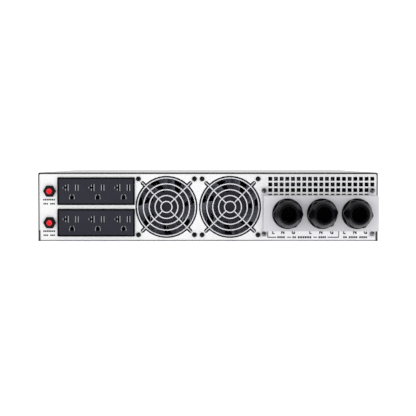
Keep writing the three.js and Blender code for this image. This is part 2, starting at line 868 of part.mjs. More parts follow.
// Three batteries on their sides, taped into a string: they touch along the middle of their faces.
function batteryString() {
  const length = batteriesInString * batteryHeight;
  const top = batteryWidth - sheet;
  const body = block(0, batteryLength, 0, length, 0, top);
  const grooves = [];
  for (let i = 1; i < batteriesInString; i++) {
    const y0 = i * batteryHeight - batteryGroove / 2;
    grooves.push(block(-1, batteryLength + 1, y0, y0 + batteryGroove, top - grooveDepth, top + 1));
  }
  return cut(body, ...grooves);
}

const stringY = trayY0 + sheet + gap;
const stringZ = trayZ + sheet + seat;
const stringX = trayX0 + sheet + gap;
piece("battery_tray", batteryTray(), finishes.zincSteel);
piece("battery_string_1", batteryString(), finishes.batteryCase, stringX, stringY, stringZ);
piece(
  "battery_string_2",
  batteryString(),
  finishes.batteryCase,
  stringX + batteryLength + stringSpace,
  stringY,
  stringZ,
);

// ---------------------------------------------------------------- front bezels

// A moulded shell, open at the back, from x0 to x1.
function bezelShell(x0, x1) {
  const z0 = 2 * gap;
  const z1 = caseHeight - 2 * gap;
  const y0 = frontY + gap;
  const y1 = frontY + bezelDepth;
  return cut(
    block(x0, x1, y0, y1, z0, z1),
    block(x0 + bezelWall, x1 - bezelWall, y0 - 1, y1 - bezelWall, z0 + bezelWall, z1 - bezelWall),
  );
}

// Cutters for the rows of louvre slots between x0 and x1.
function louvres(x0, x1) {
  const y0 = frontY + bezelDepth - bezelWall - 1;
  const y1 = frontY + bezelDepth + 1;
  const width = (x1 - x0 + louvreRib) / louvreColumns - louvreRib;
  const slots = [];
  for (let column = 0; column < louvreColumns; column++) {
    for (let row = 0; row < louvreRows; row++) {
      const x = x0 + width / 2 + column * (width + louvreRib);
      slots.push(slab(width, louvreHeight, y0, y1, x, caseHeight - louvreDrop - row * louvrePitch));
    }
  }
  return slots;
}

// The drawer's bezel has a finger grip: a pocket in its lower edge, walled off from the louvres.
function drawerFront() {
  const x0 = -caseWidth / 2;
  const x1 = splitX - bezelSplitGap / 2;
  const middle = (x0 + x1) / 2;
  const y1 = frontY + bezelDepth;
  const z1 = 2 * gap + gripHeight;
  const pocket = block(
    middle - gripWidth / 2 - bezelWall,
    middle + gripWidth / 2 + bezelWall,
    y1 - gripDepth - bezelWall,
    y1 - 1,
    2 * gap,
    z1 + bezelWall,
  );
  const hollow = block(middle - gripWidth / 2, middle + gripWidth / 2, y1 - gripDepth, y1 + 1, -1, z1);
  const slots = louvres(x0 + louvreEnd, x1 - louvreEnd);
  return cut(union(bezelShell(x0, x1), pocket), hollow, ...slots);
}

const keyX = [controlX - keySpacing, controlX, controlX + keySpacing];
const keyZ = caseHeight * 0.22;
const lcdZ = caseHeight * 0.62;

function controlBezel() {
  const y0 = frontY + bezelDepth - bezelWall - 1;
  const y1 = frontY + bezelDepth + 1;
  const tools = [slab(lcdWidth, lcdHeight, y0, y1, controlX, lcdZ)];
  for (const x of keyX) tools.push(bar(keyRadius + bore, y0, y1, x, keyZ));
  return cut(bezelShell(splitX + bezelSplitGap / 2, caseWidth / 2), ...tools);
}

// Display board on four posts: the display stands on it, and one switch behind each key.
function displayBoard() {
  const width = lcdWidth + 26;
  const height = caseHeight - 16;
  const y0 = frontY + bezelDepth - bezelWall - displayBoardBack;
  const y1 = y0 + boardThick + switchRise;
  const switches = keyX.map((x) => slab(switchSize, switchSize, y0, y1, x, keyZ));
  const posts = corners.map(([sx, sz]) => {
    const x = controlX + sx * (width / 2 - 5);
    return bar(3, frontY + seat, y0 + 1, x, middleZ + sz * (height / 2 - 5), 8);
  });
  return union(
    slab(width, height, y0, y0 + boardThick, controlX, middleZ),
    slab(lcdWidth - 4, lcdHeight - 4, y0, y0 + displayRise, controlX, lcdZ),
    ...switches,
    ...posts,
  );
}

// A key stands proud of the bezel and has a collar behind it, so that it can't fall out.
function key() {
  const collar = -bezelWall - 0.4;
  const back = -bezelWall - displayBoardBack + boardThick + switchRise + keyTravelRoom;
  const stem = keyRadius / 2;
  const collarSize = 1.2;
  return turned(
    [
      [0, back],
      [stem, back],
      [stem, collar - collarSize],
      [keyRadius + collarSize, collar - collarSize],
      [keyRadius + collarSize, collar],
      [keyRadius, collar],
      [keyRadius, keyProud - 0.5],
      [keyRadius - 0.5, keyProud],
      [0, keyProud],
    ],
    14,
  );
}

piece("drawer_front", drawerFront(), finishes.blackPlastic);
piece("control_bezel", controlBezel(), finishes.blackPlastic);
piece("display_board", displayBoard(), finishes.boardGreen);
piece(
  "lcd_lens",
  slab(lcdWidth - 2 * gap, lcdHeight - 2 * gap, -lcdThick, 0),
  finishes.smokedLens,
  controlX,
  frontY + bezelDepth - seat,
  lcdZ,
);
["power_key", "scroll_key", "enter_key"].forEach((name, i) => {
  piece(name, key(), finishes.blackPlastic, keyX[i], frontY + bezelDepth, keyZ);
});

// ---------------------------------------------------------------- electronics inside

const rearRoomY0 = panelY + outletDepth + 2 * sheet + 6; // behind the outlets and fans
const heatsinkX = (fanX[0] + fanX[1]) / 2;
const boardX0 = Math.max(bayWallX + flange, heatsinkX + heatsink.width / 2) + 2; // clear of both
const boardX1 = innerHalf - 3;
const boardY1 = frontY - 14;

// Power board on four posts, with relays on it.
function powerBoard() {
  const z0 = sheet + seat;
  const z1 = z0 + boardRise;
  const parts = [block(boardX0, boardX1, rearRoomY0, boardY1, z1, z1 + boardThick)];
  const post = 6;
  for (const x of [boardX0 + post, boardX1 - post]) {
    for (const y of [rearRoomY0 + post, boardY1 - post]) {
      parts.push(block(x - post / 2, x + post / 2, y - post / 2, y + post / 2, z0, z1 + 1));
    }
  }
  for (let i = 0; i < relay.count; i++) {
    const x0 = boardX0 + 8;
    const y0 = boardY1 - 18 - i * relay.pitch - relay.depth;
    parts.push(block(x0, x0 + relay.width, y0, y0 + relay.depth, z1, z1 + relay.height));
  }
  return union(...parts);
}

// Extruded heat sink with its fins along the air path of the fans.
function heatSink() {
  const { width, room, height, base, fins, fin } = heatsink;
  const comb = new THREE.Shape();
  const step = (width - fin) / (fins - 1);
  comb.moveTo(-width / 2, 0);
  comb.lineTo(width / 2, 0);
  for (let i = fins - 1; i >= 0; i--) {
    const x = -width / 2 + i * step;
    comb.lineTo(x + fin, height);
    comb.lineTo(x, height);
    if (i) {
      comb.lineTo(x, base);
      comb.lineTo(x - step + fin, base);
    }
  }
  comb.closePath();
  return plate(comb, rearRoomY0, trayY0 - room);
}

// Laminated core with a window on each side of its middle leg.
function transformerCore() {
  const { width, stack, height, window } = transformer;
  const middle = height / 2;
  const windows = [-1, 1].map((side) =>
    slab(coreOpening, window, -stack, stack, (side * (transformer.leg + coreOpening)) / 2, middle),
  );
  return cut(slab(width, height, -stack / 2, stack / 2, 0, middle), ...windows);
}

function transformerCoil() {
  const { stack, leg, window, height } = transformer;
  const wall = Math.min(coilWall, coreOpening - gap);
  return cut(
    slab(leg + 2 * wall, window - 2 * gap, -stack / 2 - wall, stack / 2 + wall, 0, height / 2),
    slab(leg + 2 * gap, window, -stack / 2 - gap, stack / 2 + gap, 0, height / 2),
  );
}

const transformerX = -innerHalf + 12 + transformer.width / 2;
const transformerY = (rearRoomY0 + trayY0) / 2;
const floorZ = sheet + seat;
piece("power_board", powerBoard(), finishes.boardGreen);
piece("heat_sink", heatSink(), finishes.aluminium, heatsinkX, 0, floorZ);
piece("transformer_core", transformerCore(), finishes.coreSteel, transformerX, transformerY, floorZ);
piece("transformer_coil", transformerCoil(), finishes.copperCoil, transformerX, transformerY, floorZ);
[0, 1].forEach((i) => {
  const can = turned([
    [0, 0],
    [capacitor.radius, 0],
    [capacitor.radius, capacitor.height - 1],
    [capacitor.radius - 1, capacitor.height],
    [0, capacitor.height],
  ]);
  const upright = new THREE.Group();
  const y = rearRoomY0 + 30 + i * (2 * capacitor.radius + 6);
  upright.position.set(boardX1 - capacitor.radius - 8, y, sheet + seat + boardRise + boardThick + gap);
  upright.rotation.x = Math.PI / 2;
  unit.add(upright);
  piece(`capacitor_${i + 1}`, can, finishes.capacitorSleeve, 0, 0, 0, upright);
});

export default unit;
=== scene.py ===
# %% [markdown]
# # A rackmount uninterruptible power supply
#
# The unit is a flat steel case, two rack spaces high. This view is of its back: a light grey panel with two
# reset buttons, two blocks of outlets, two fans behind wire guards, a grid of square vents, and a folded
# steel box with three cable glands over the mains terminals. The front has plastic bezels, a small display
# and a battery drawer that slides out.
#
# The solid model is loaded first. It fixes every size and place, so this script only adds the fine shape and
# the finish of each piece, and never moves anything.

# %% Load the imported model
import math

import bmesh
import bpy
from mathutils import Matrix, Vector


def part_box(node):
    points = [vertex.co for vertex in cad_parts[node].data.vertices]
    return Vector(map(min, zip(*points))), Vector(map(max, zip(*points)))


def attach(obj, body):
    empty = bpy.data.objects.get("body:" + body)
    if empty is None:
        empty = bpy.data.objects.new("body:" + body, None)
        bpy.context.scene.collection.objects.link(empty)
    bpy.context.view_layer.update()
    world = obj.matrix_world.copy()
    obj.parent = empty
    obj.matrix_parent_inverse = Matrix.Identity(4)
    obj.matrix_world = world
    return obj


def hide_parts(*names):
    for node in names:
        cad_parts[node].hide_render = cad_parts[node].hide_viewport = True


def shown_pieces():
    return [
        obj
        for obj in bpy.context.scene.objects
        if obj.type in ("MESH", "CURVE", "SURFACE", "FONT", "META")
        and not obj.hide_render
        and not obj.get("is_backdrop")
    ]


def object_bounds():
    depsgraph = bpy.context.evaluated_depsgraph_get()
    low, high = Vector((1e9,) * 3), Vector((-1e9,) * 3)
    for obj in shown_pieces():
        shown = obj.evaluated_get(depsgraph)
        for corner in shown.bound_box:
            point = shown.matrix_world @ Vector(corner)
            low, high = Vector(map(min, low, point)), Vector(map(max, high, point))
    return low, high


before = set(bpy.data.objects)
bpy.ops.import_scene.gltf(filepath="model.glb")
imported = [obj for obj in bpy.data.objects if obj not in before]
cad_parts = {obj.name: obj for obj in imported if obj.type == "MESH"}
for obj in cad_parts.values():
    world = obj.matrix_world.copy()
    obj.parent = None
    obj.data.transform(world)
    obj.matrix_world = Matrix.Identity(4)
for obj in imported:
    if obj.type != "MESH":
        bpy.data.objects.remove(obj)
cad_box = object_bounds()
scene = bpy.context.scene
print("solid model, metres:", [round(b - a, 4) for a, b in zip(*cad_box)])

# %% [markdown]
# ## Units and places
#
# Blender's unit here is the metre, and the pieces are measured in millimetres, so `mm` turns one into the
# other. Two small helpers read a solid's middle and its corners from the model. Every place below comes from
# them.

# %% Units and places
mm = 0.001


def middle(node):
    low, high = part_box(node)
    return (low + high) / 2


panel_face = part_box("rear_panel")[0].y
cover_low, cover_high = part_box("top_cover")
fan_places = [middle("fan_guard_1"), middle("fan_guard_2")]
print("rear panel's face at y", round(panel_face / mm, 2), "mm")
print("fans at x", [round(place.x / mm, 1) for place in fan_places], "mm")

# %% [markdown]
# ## Camera
#
# The unit is looked at straight from behind, from a little above its top, with a long lens. The top's back
# edge and front edge differ in width by the ratio of their distances, so the case's depth, which is a guess,
# sets the camera's distance, and the case's width in the view then sets the lens.

# %% Camera
camera_distance = 1675 * mm  # from the rear panel
camera_height = 103 * mm
aim_height = 42.6 * mm
view_width = 531.6 * mm  # seen at the rear panel
camera_data = bpy.data.cameras.new("camera")
camera_data.lens = camera_data.sensor_width * camera_distance / view_width
camera = bpy.data.objects.new("camera", camera_data)
scene.collection.objects.link(camera)
camera.location = (0, panel_face - camera_distance, camera_height)
pitch = math.atan2(camera_height - aim_height, camera_distance)
camera.rotation_euler = (math.radians(90) - pitch, 0, 0)
scene.camera = camera
print("lens, mm:", round(camera_data.lens, 1), "looking down, degrees:", round(math.degrees(pitch), 2))

# %% [markdown]
# ## Light and floor
#
# A product like this is shown in a light tent: white all round, with a softbox on each side, one above and a
# long low one in front. Black plastic and bright wire show almost nothing but what they reflect, and that is
# the tent alone: the softboxes are hidden from glossy surfaces. A dark card hangs behind the camera and
# another overhead, so that the parts that face the camera stay black, and the sides stay white. A matt
# surface still gets the light of the whole tent. The floor glows a little, as white paper with a lamp behind
# it does, which keeps white paint white.

# %% World, softboxes and floor
scene.view_settings.view_transform = "Standard"
world = bpy.data.worlds.new("light tent")
world.use_nodes = True
tent = world.node_tree
sky = tent.nodes["Background"]
sky.inputs["Color"].default_value = (1, 1, 1, 1)
direction = tent.nodes.new("ShaderNodeTexCoord")
parts = tent.nodes.new("ShaderNodeSeparateXYZ")
card = tent.nodes.new("ShaderNodeMapRange")
card.inputs["From Min"].default_value = -0.35
card.inputs["From Max"].default_value = 0.45
card.inputs["To Min"].default_value = 0.1
card.inputs["To Max"].default_value = 1.0
height = tent.nodes.new("ShaderNodeMath")
height.operation = "ABSOLUTE"
lid = tent.nodes.new("ShaderNodeMapRange")
lid.inputs["From Min"].default_value = 0.3
lid.inputs["From Max"].default_value = 0.75
lid.inputs["To Min"].default_value = 1.0
lid.inputs["To Max"].default_value = 0.12
shown = tent.nodes.new("ShaderNodeMath")
shown.operation = "MULTIPLY"
rays = tent.nodes.new("ShaderNodeLightPath")
matt_or_gloss = tent.nodes.new("ShaderNodeMix")
matt_or_gloss.inputs["A"].default_value = 0.8
seen_or_lit = tent.nodes.new("ShaderNodeMix")
seen_or_lit.inputs["B"].default_value = 1.05
tent.links.new(direction.outputs["Generated"], parts.inputs[0])
tent.links.new(parts.outputs["Y"], card.inputs["Value"])
tent.links.new(rays.outputs["Is Glossy Ray"], matt_or_gloss.inputs["Factor"])
tent.links.new(parts.outputs["Z"], height.inputs[0])
tent.links.new(height.outputs[0], lid.inputs["Value"])
tent.links.new(card.outputs["Result"], shown.inputs[0])
tent.links.new(lid.outputs["Result"], shown.inputs[1])
tent.links.new(shown.outputs[0], matt_or_gloss.inputs["B"])
tent.links.new(rays.outputs["Is Camera Ray"], seen_or_lit.inputs["Factor"])
tent.links.new(matt_or_gloss.outputs["Result"], seen_or_lit.inputs["A"])
tent.links.new(seen_or_lit.outputs["Result"], sky.inputs["Strength"])
scene.world = world


def softbox(name, place, target, size, power):
    data = bpy.data.lights.new(name, "AREA")
    data.shape = "RECTANGLE"
    data.size, data.size_y = size
    data.energy = power
    lamp = bpy.data.objects.new(name, data)
    scene.collection.objects.link(lamp)
    lamp.location = place
    lamp.rotation_euler = (Vector(target) - Vector(place)).to_track_quat("-Z", "Y").to_euler()
    lamp.visible_glossy = False
    return lamp


softbox("left softbox", (-1.5, -1.4, 0.3), (0, -0.2, 0.04), (0.9, 0.6), 1.8)
softbox("right softbox", (1.5, -1.2, 0.3), (0, -0.2, 0.04), (0.7, 0.6), 1.8)
softbox("low softbox", (-0.3, -2.2, 0.1), (0, -0.2, 0.02), (1.8, 0.16), 4.2)
softbox("top softbox", (0, 0.3, 1.5), (0, 0.1, 0.08), (1.4, 1.0), 1.2)

floor_size = 30
floor_mesh = bpy.data.meshes.new("floor")
half = floor_size / 2
floor_mesh.from_pydata(
    [(-half, -half, 0), (half, -half, 0), (half, half, 0), (-half, half, 0)], [], [(0, 1, 2, 3)]
)
floor = bpy.data.objects.new("floor", floor_mesh)
scene.collection.objects.link(floor)
floor_paper = bpy.data.materials.new("floor paper")
floor_paper.use_nodes = True
paper = floor_paper.node_tree.nodes["Principled BSDF"]
paper.inputs["Base Color"].default_value = (0.86, 0.86, 0.86, 1)
paper.inputs["Roughness"].default_value = 0.9
paper.inputs["Specular IOR Level"].default_value = 0.1
paper.inputs["Emission Color"].default_value = (1, 1, 1, 1)
paper.inputs["Emission Strength"].default_value = 0.72
floor_mesh.materials.append(floor_paper)
floor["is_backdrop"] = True

# %% [markdown]
# ## Tools for node trees
#
# Both kinds of tree below, materials and Geometry Nodes, are built the same way: make a tree with named
# inputs and outputs, then add nodes and join them. `add` makes one node, and takes for each input either a
# value or another node's output.

# %% Tools for node trees
def new_tree(kind, name, inputs, outputs):
    tree = bpy.data.node_groups.new(name, kind)
    for label, socket_type, value in inputs:
        socket = tree.interface.new_socket(label, in_out="INPUT", socket_type=socket_type)
        if value is not None:
            socket.default_value = value
    for label, socket_type in outputs:
        tree.interface.new_socket(label, in_out="OUTPUT", socket_type=socket_type)
    start = tree.nodes.new("NodeGroupInput").outputs
    end = tree.nodes.new("NodeGroupOutput").inputs
    return tree, start, end


def add(tree, kind, inputs=None, **settings):
    node = tree.nodes.new(kind)
    for name, value in settings.items():
        setattr(node, name, value)
    for name, value in (inputs or {}).items():
        if isinstance(value, bpy.types.NodeSocket):
            tree.links.new(value, node.inputs[name])
        else:
            node.inputs[name].default_value = value
    return node


COLOUR = "NodeSocketColor"
FLOAT = "NodeSocketFloat"
print("tree tools ready")

# %% [markdown]
# ## Shared surface effects
#
# No real surface is one flat colour. Paint drifts a little in tone, moulded plastic has a fine grain, hands
# leave patches that shine less, dust settles on faces that look up, and edges rub bright; on some finishes
# the edge colour is a painted highlight instead. Each effect is a node group, built once, so that every
# material can use it with its own values. They read Object coordinates, which are metres here, so a size in
# metres means what it says.

# %% Effect: tone drift
def make_tone_drift():
    tree, start, end = new_tree(
        "ShaderNodeTree",
        "Tone drift",
        [("Colour", COLOUR, (0.5, 0.5, 0.5, 1)), ("Amount", FLOAT, 0.04), ("Patch Size", FLOAT, 0.03)],
        [("Colour", COLOUR)],
    )
    place = add(tree, "ShaderNodeTexCoord").outputs["Object"]
    scale = add(tree, "ShaderNodeMath", {0: 1.0, 1: start["Patch Size"]}, operation="DIVIDE")
    patches = add(tree, "ShaderNodeTexNoise", {"Vector": place, "Scale": scale.outputs[0], "Detail": 3.0})
    low = add(tree, "ShaderNodeMath", {0: 1.0, 1: start["Amount"]}, operation="SUBTRACT")
    high = add(tree, "ShaderNodeMath", {0: 1.0, 1: start["Amount"]}, operation="ADD")
    gain = add(
        tree,
        "ShaderNodeMapRange",
        {
            "Value": patches.outputs["Fac"],
            "From Min": 0.3,
            "From Max": 0.7,
            "To Min": low.outputs[0],
            "To Max": high.outputs[0],
        },
    )
    toned = add(
        tree, "ShaderNodeVectorMath", {0: start["Colour"], "Scale": gain.outputs[0]}, operation="SCALE"
    )
    tree.links.new(toned.outputs[0], end["Colour"])
    return tree


tone_drift = make_tone_drift()
print("group:", tone_drift.name)

# %% Effect: fine grain
def make_fine_grain():
    tree, start, end = new_tree(
        "ShaderNodeTree", "Fine grain", [("Grain Size", FLOAT, 0.0004)], [("Height", FLOAT), ("Speck", FLOAT)]
    )
    place = add(tree, "ShaderNodeTexCoord").outputs["Object"]
    scale = add(tree, "ShaderNodeMath", {0: 1.0, 1: start["Grain Size"]}, operation="DIVIDE")
    grain = add(tree, "ShaderNodeTexNoise", {"Vector": place, "Scale": scale.outputs[0], "Detail": 2.0})
    specks = add(
        tree, "ShaderNodeMapRange", {"Value": grain.outputs["Fac"], "From Min": 0.62, "From Max": 0.75}
    )
    tree.links.new(grain.outputs["Fac"], end["Height"])
    tree.links.new(specks.outputs[0], end["Speck"])
    return tree


fine_grain = make_fine_grain()
print("group:", fine_grain.name)

# %% Effect: handled patches
def make_handling():
    tree, start, end = new_tree(
        "ShaderNodeTree",
        "Handled patches",
        [("Roughness", FLOAT, 0.4), ("Change", FLOAT, 0.08), ("Patch Size", FLOAT, 0.02)],
        [("Roughness", FLOAT)],
    )
    place = add(tree, "ShaderNodeTexCoord").outputs["Object"]
    scale = add(tree, "ShaderNodeMath", {0: 1.0, 1: start["Patch Size"]}, operation="DIVIDE")
    patches = add(tree, "ShaderNodeTexNoise", {"Vector": place, "Scale": scale.outputs[0], "Detail": 4.0})
    centred = add(tree, "ShaderNodeMath", {0: patches.outputs["Fac"], 1: 0.5}, operation="SUBTRACT")
    change = add(tree, "ShaderNodeMath", {0: start["Change"], 1: 2.0}, operation="MULTIPLY")
    result = add(
        tree,
        "ShaderNodeMath",
        {0: centred.outputs[0], 1: change.outputs[0], 2: start["Roughness"]},
        operation="MULTIPLY_ADD",
        use_clamp=True,
    )
    tree.links.new(result.outputs[0], end["Roughness"])
    return tree


handled_patches = make_handling()
print("group:", handled_patches.name)

# %% Effect: settled dust
def make_settled_dust():
    tree, start, end = new_tree(
        "ShaderNodeTree",
        "Settled dust",
        [("Colour", COLOUR, (0, 0, 0, 1)), ("Dust", COLOUR, (0.35, 0.34, 0.32, 1)), ("Amount", FLOAT, 0.1)],
        [("Colour", COLOUR), ("Mask", FLOAT)],
    )
    facing = add(tree, "ShaderNodeTexCoord").outputs
    up = add(tree, "ShaderNodeSeparateXYZ", {0: facing["Normal"]}).outputs["Z"]
    drifts = add(tree, "ShaderNodeTexNoise", {"Vector": facing["Object"], "Scale": 90.0, "Detail": 6.0})
    lying = add(tree, "ShaderNodeMapRange", {"Value": up, "From Min": 0.2, "From Max": 1.0})
    uneven = add(
        tree, "ShaderNodeMath", {0: lying.outputs[0], 1: drifts.outputs["Fac"]}, operation="MULTIPLY"
    )
    mask = add(tree, "ShaderNodeMath", {0: uneven.outputs[0], 1: start["Amount"]}, operation="MULTIPLY")
    mixed = add(
        tree,
        "ShaderNodeMix",
        {"Factor": mask.outputs[0], 6: start["Colour"], 7: start["Dust"]},
        data_type="RGBA",
    )
    tree.links.new(mixed.outputs[2], end["Colour"])
    tree.links.new(mask.outputs[0], end["Mask"])
    return tree


settled_dust = make_settled_dust()
print("group:", settled_dust.name)

# %% [markdown]
# Edge wear and painted edge highlight need to know where the edges are. The pieces below mark the faces of
# their rounded edges in an attribute called `edge`, and this group breaks that mark up with noise, so that an
# edge changes colour here and there and not along its whole length. On the reset buttons' and the glands'
# finishes that colour is a painted highlight; on the rest it is wear.

# %% Effect: edge wear and painted edge highlight
def make_worn_and_lit_edges():
    tree, start, end = new_tree(
        "ShaderNodeTree",
        "Worn and lit edges",
        [("Colour", COLOUR, (0, 0, 0, 1)), ("Wear And Highlight", COLOUR, (0.3, 0.3, 0.3, 1)), ("Amount", FLOAT, 0.3)],
        [("Colour", COLOUR), ("Mask", FLOAT)],
    )
    place = add(tree, "ShaderNodeTexCoord").outputs["Object"]
    edge = add(tree, "ShaderNodeAttribute", attribute_name="edge").outputs["Fac"]
    edge_patches = add(tree, "ShaderNodeTexNoise", {"Vector": place, "Scale": 260.0, "Detail": 5.0})
    patchy = add(
        tree, "ShaderNodeMapRange", {"Value": edge_patches.outputs["Fac"], "From Min": 0.42, "From Max": 0.62}
    )
    on_edge = add(tree, "ShaderNodeMath", {0: edge, 1: patchy.outputs[0]}, operation="MULTIPLY")
    mask = add(tree, "ShaderNodeMath", {0: on_edge.outputs[0], 1: start["Amount"]}, operation="MULTIPLY")
    mixed = add(
        tree,
        "ShaderNodeMix",
        {"Factor": mask.outputs[0], 6: start["Colour"], 7: start["Wear And Highlight"]},
        data_type="RGBA",
    )
    tree.links.new(mixed.outputs[2], end["Colour"])
    tree.links.new(mask.outputs[0], end["Mask"])
    return tree


worn_and_lit_edges = make_worn_and_lit_edges()
print("group:", worn_and_lit_edges.name)

# %% Effect: rolled sheet, with fine lines along one direction
def make_rolling_lines():
    tree, start, end = new_tree(
        "ShaderNodeTree",
        "Rolling lines",
        [("Line Width", FLOAT, 0.0006), ("Direction", "NodeSocketVector", (1, 0.02, 1))],
        [("Height", FLOAT), ("Tone", FLOAT)],
    )
    place = add(tree, "ShaderNodeTexCoord").outputs["Object"]
    squeezed = add(tree, "ShaderNodeVectorMath", {0: place, 1: start["Direction"]}, operation="MULTIPLY")
    scale = add(tree, "ShaderNodeMath", {0: 1.0, 1: start["Line Width"]}, operation="DIVIDE")
    lines = add(
        tree, "ShaderNodeTexNoise", {"Vector": squeezed.outputs[0], "Scale": scale.outputs[0], "Detail": 2.0}
    )
    tone = add(
        tree,
        "ShaderNodeMapRange",
        {"Value": lines.outputs["Fac"], "From Min": 0.3, "From Max": 0.7, "To Min": 0.86, "To Max": 1.08},
    )
    tree.links.new(lines.outputs["Fac"], end["Height"])
    tree.links.new(tone.outputs[0], end["Tone"])
    return tree


rolling_lines = make_rolling_lines()
print("group:", rolling_lines.name)

# %% [markdown]
# ## Finishes
#
# `surface` starts a material and sets what is the same all over it on the shader itself. `paint_chain` then
# leads a colour through the effects above into Base Color, and the grain through a Bump node into Normal.
# Each finish below is one call or two, with its own values.

# %% Tools for finishes
def srgb(red, green, blue):
    """A colour as a paint chart gives it, 0 to 255, turned into the linear values that shaders use."""
    values = [v / 255 for v in (red, green, blue)]
    return tuple(v / 12.92 if v <= 0.04045 else ((v + 0.055) / 1.055) ** 2.4 for v in values) + (1,)


def surface(name, roughness, metallic=0.0, specular=0.5, coat=0.0, sheen=0.0):
    material = bpy.data.materials.new(name)
    material.use_nodes = True
    shader = material.node_tree.nodes["Principled BSDF"]
    shader.inputs["Roughness"].default_value = roughness
    shader.inputs["Metallic"].default_value = metallic
    shader.inputs["Specular IOR Level"].default_value = specular
    shader.inputs["Coat Weight"].default_value = coat
    shader.inputs["Sheen Weight"].default_value = sheen
    return material, material.node_tree, shader


def group(tree, tree_group, inputs):
    return add(tree, "ShaderNodeGroup", inputs, node_tree=tree_group)


def paint_chain(tree, shader, colour, drift=0.04, patch=0.03, edge_wear_and_highlight=None, edge_wear_and_highlight_amount=0.0, dust=0.0, painted_shade=None):
    """Colour, tone drift, edge wear and painted edge highlight, and dust, into Base Color. Faces marked as
    cut walls and recesses take a near-black colour of their own: painted shade.
    """
    toned = group(tree, tone_drift, {"Colour": colour, "Amount": drift, "Patch Size": patch})
    last = toned.outputs["Colour"]
    if edge_wear_and_highlight:
        worn_and_lit = group(tree, worn_and_lit_edges, {"Colour": last, "Wear And Highlight": edge_wear_and_highlight, "Amount": edge_wear_and_highlight_amount})
        last = worn_and_lit.outputs["Colour"]
    if dust:
        dusty = group(tree, settled_dust, {"Colour": last, "Amount": dust})
        last = dusty.outputs["Colour"]
    if painted_shade:
        shade_mask = add(tree, "ShaderNodeAttribute", attribute_name="painted_shade").outputs["Fac"]
        darkened = add(tree, "ShaderNodeMix", {"Factor": shade_mask, 6: last, 7: painted_shade}, data_type="RGBA")
        last = darkened.outputs[2]
    tree.links.new(last, shader.inputs["Base Color"])


def touch_chain(
    tree, shader, roughness, change=0.06, patch=0.02, grain=0.0004, depth=0.01 * mm, strength=0.5
):
    """Handled patches into Roughness, and a grain of that size and depth into Normal."""
    handled = group(tree, handled_patches, {"Roughness": roughness, "Change": change, "Patch Size": patch})
    tree.links.new(handled.outputs["Roughness"], shader.inputs["Roughness"])
    grained = group(tree, fine_grain, {"Grain Size": grain})
    bump = add(
        tree,
        "ShaderNodeBump",
        {"Strength": strength, "Distance": depth, "Height": grained.outputs["Height"]},
    )
    tree.links.new(bump.outputs["Normal"], shader.inputs["Normal"])
    return bump


materials = {}


def finish(slot_name, colour, roughness, shader_values=None, paint=None, touch=None):
    material, tree, shader = surface(slot_name.replace("_", " "), roughness, **(shader_values or {}))
    paint_chain(tree, shader, colour, **(paint or {}))
    touch_chain(tree, shader, roughness, **(touch or {}))
    materials[slot_name] = material
    return material


print("finish tools ready")

# %% [markdown]
# ### Painted steel
#
# The rear panel and the wiring box are steel with a light grey powder coat. Powder melts into a film with a
# very faint orange-peel surface, a millimetre or so from bump to bump. The cover has a smoother satin black
# coat. Both go thin at the edges, where the black one rubs grey.

# %% Finishes: painted steel
finish(
    "panel_paint",
    srgb(230, 230, 231),
    0.42,
    {"specular": 0.4},
    {
        "drift": 0.012,
        "patch": 0.05,
        "edge_wear_and_highlight": srgb(186, 186, 188),
        "edge_wear_and_highlight_amount": 0.4,
        "dust": 0.03,
        # near black on the walls of the panel's cuts and outline: painted shade
        "painted_shade": srgb(38, 38, 42),
    },
    {"change": 0.05, "grain": 1.1 * mm, "depth": 0.02 * mm, "strength": 0.35},
)
finish(
    "box_paint",
    srgb(210, 209, 214),
    0.4,
    {"specular": 0.45},
    {"drift": 0.02, "patch": 0.04, "edge_wear_and_highlight": srgb(240, 240, 244), "edge_wear_and_highlight_amount": 0.8, "dust": 0.05},
    {"change": 0.06, "grain": 1.0 * mm, "depth": 0.02 * mm, "strength": 0.4},
)
finish(
    "cover_paint",
    srgb(12, 12, 14),
    0.22,
    {"specular": 0.6, "coat": 0.25},
    {"drift": 0.1, "patch": 0.06, "edge_wear_and_highlight": srgb(20, 20, 23), "edge_wear_and_highlight_amount": 0.35, "dust": 0.04},
    {"change": 0.07, "grain": 0.9 * mm, "depth": 0.015 * mm, "strength": 0.3},
)
print("painted finishes:", list(materials))

# %% [markdown]
# ### Moulded plastics and rubber
#
# The outlets, glands, fans, bezels and keys are moulded. A mould's spark-etched wall leaves a fine even
# grain, so the plastic looks soft and a little milky where light grazes it. Nylon glands are smoother and
# shine more. Rubber is the dullest.

# %% Finishes: plastics and rubber
finish(
    "outlet_plastic",
    srgb(44, 44, 53),
    0.42,
    {"specular": 0.12},
    {"drift": 0.05, "patch": 0.03, "edge_wear_and_highlight": srgb(70, 70, 78), "edge_wear_and_highlight_amount": 0.5, "dust": 0.06},
    {"grain": 0.35 * mm, "depth": 0.01 * mm},
)
finish(
    "black_plastic",
    srgb(16, 16, 20),
    0.45,
    {"specular": 0.2},
    {"drift": 0.08, "patch": 0.04, "edge_wear_and_highlight": srgb(74, 74, 78), "edge_wear_and_highlight_amount": 0.5, "dust": 0.14},
    {"change": 0.05, "grain": 0.5 * mm, "depth": 0.02 * mm},
)
finish(
    "fan_plastic",
    srgb(48, 48, 56),
    0.55,
    {"specular": 0.12},
    {"drift": 0.25, "patch": 0.008, "edge_wear_and_highlight": srgb(110, 110, 118), "edge_wear_and_highlight_amount": 0.6, "dust": 0.05},
    {"grain": 0.3 * mm, "depth": 0.008 * mm},
)
finish(
    "frame_plastic",
    srgb(36, 36, 44),
    0.5,
    {"specular": 0.15},
    {"drift": 0.2, "patch": 0.01, "edge_wear_and_highlight": srgb(50, 50, 56), "edge_wear_and_highlight_amount": 0.5, "dust": 0.04},
    {"grain": 0.3 * mm, "depth": 0.008 * mm},
)
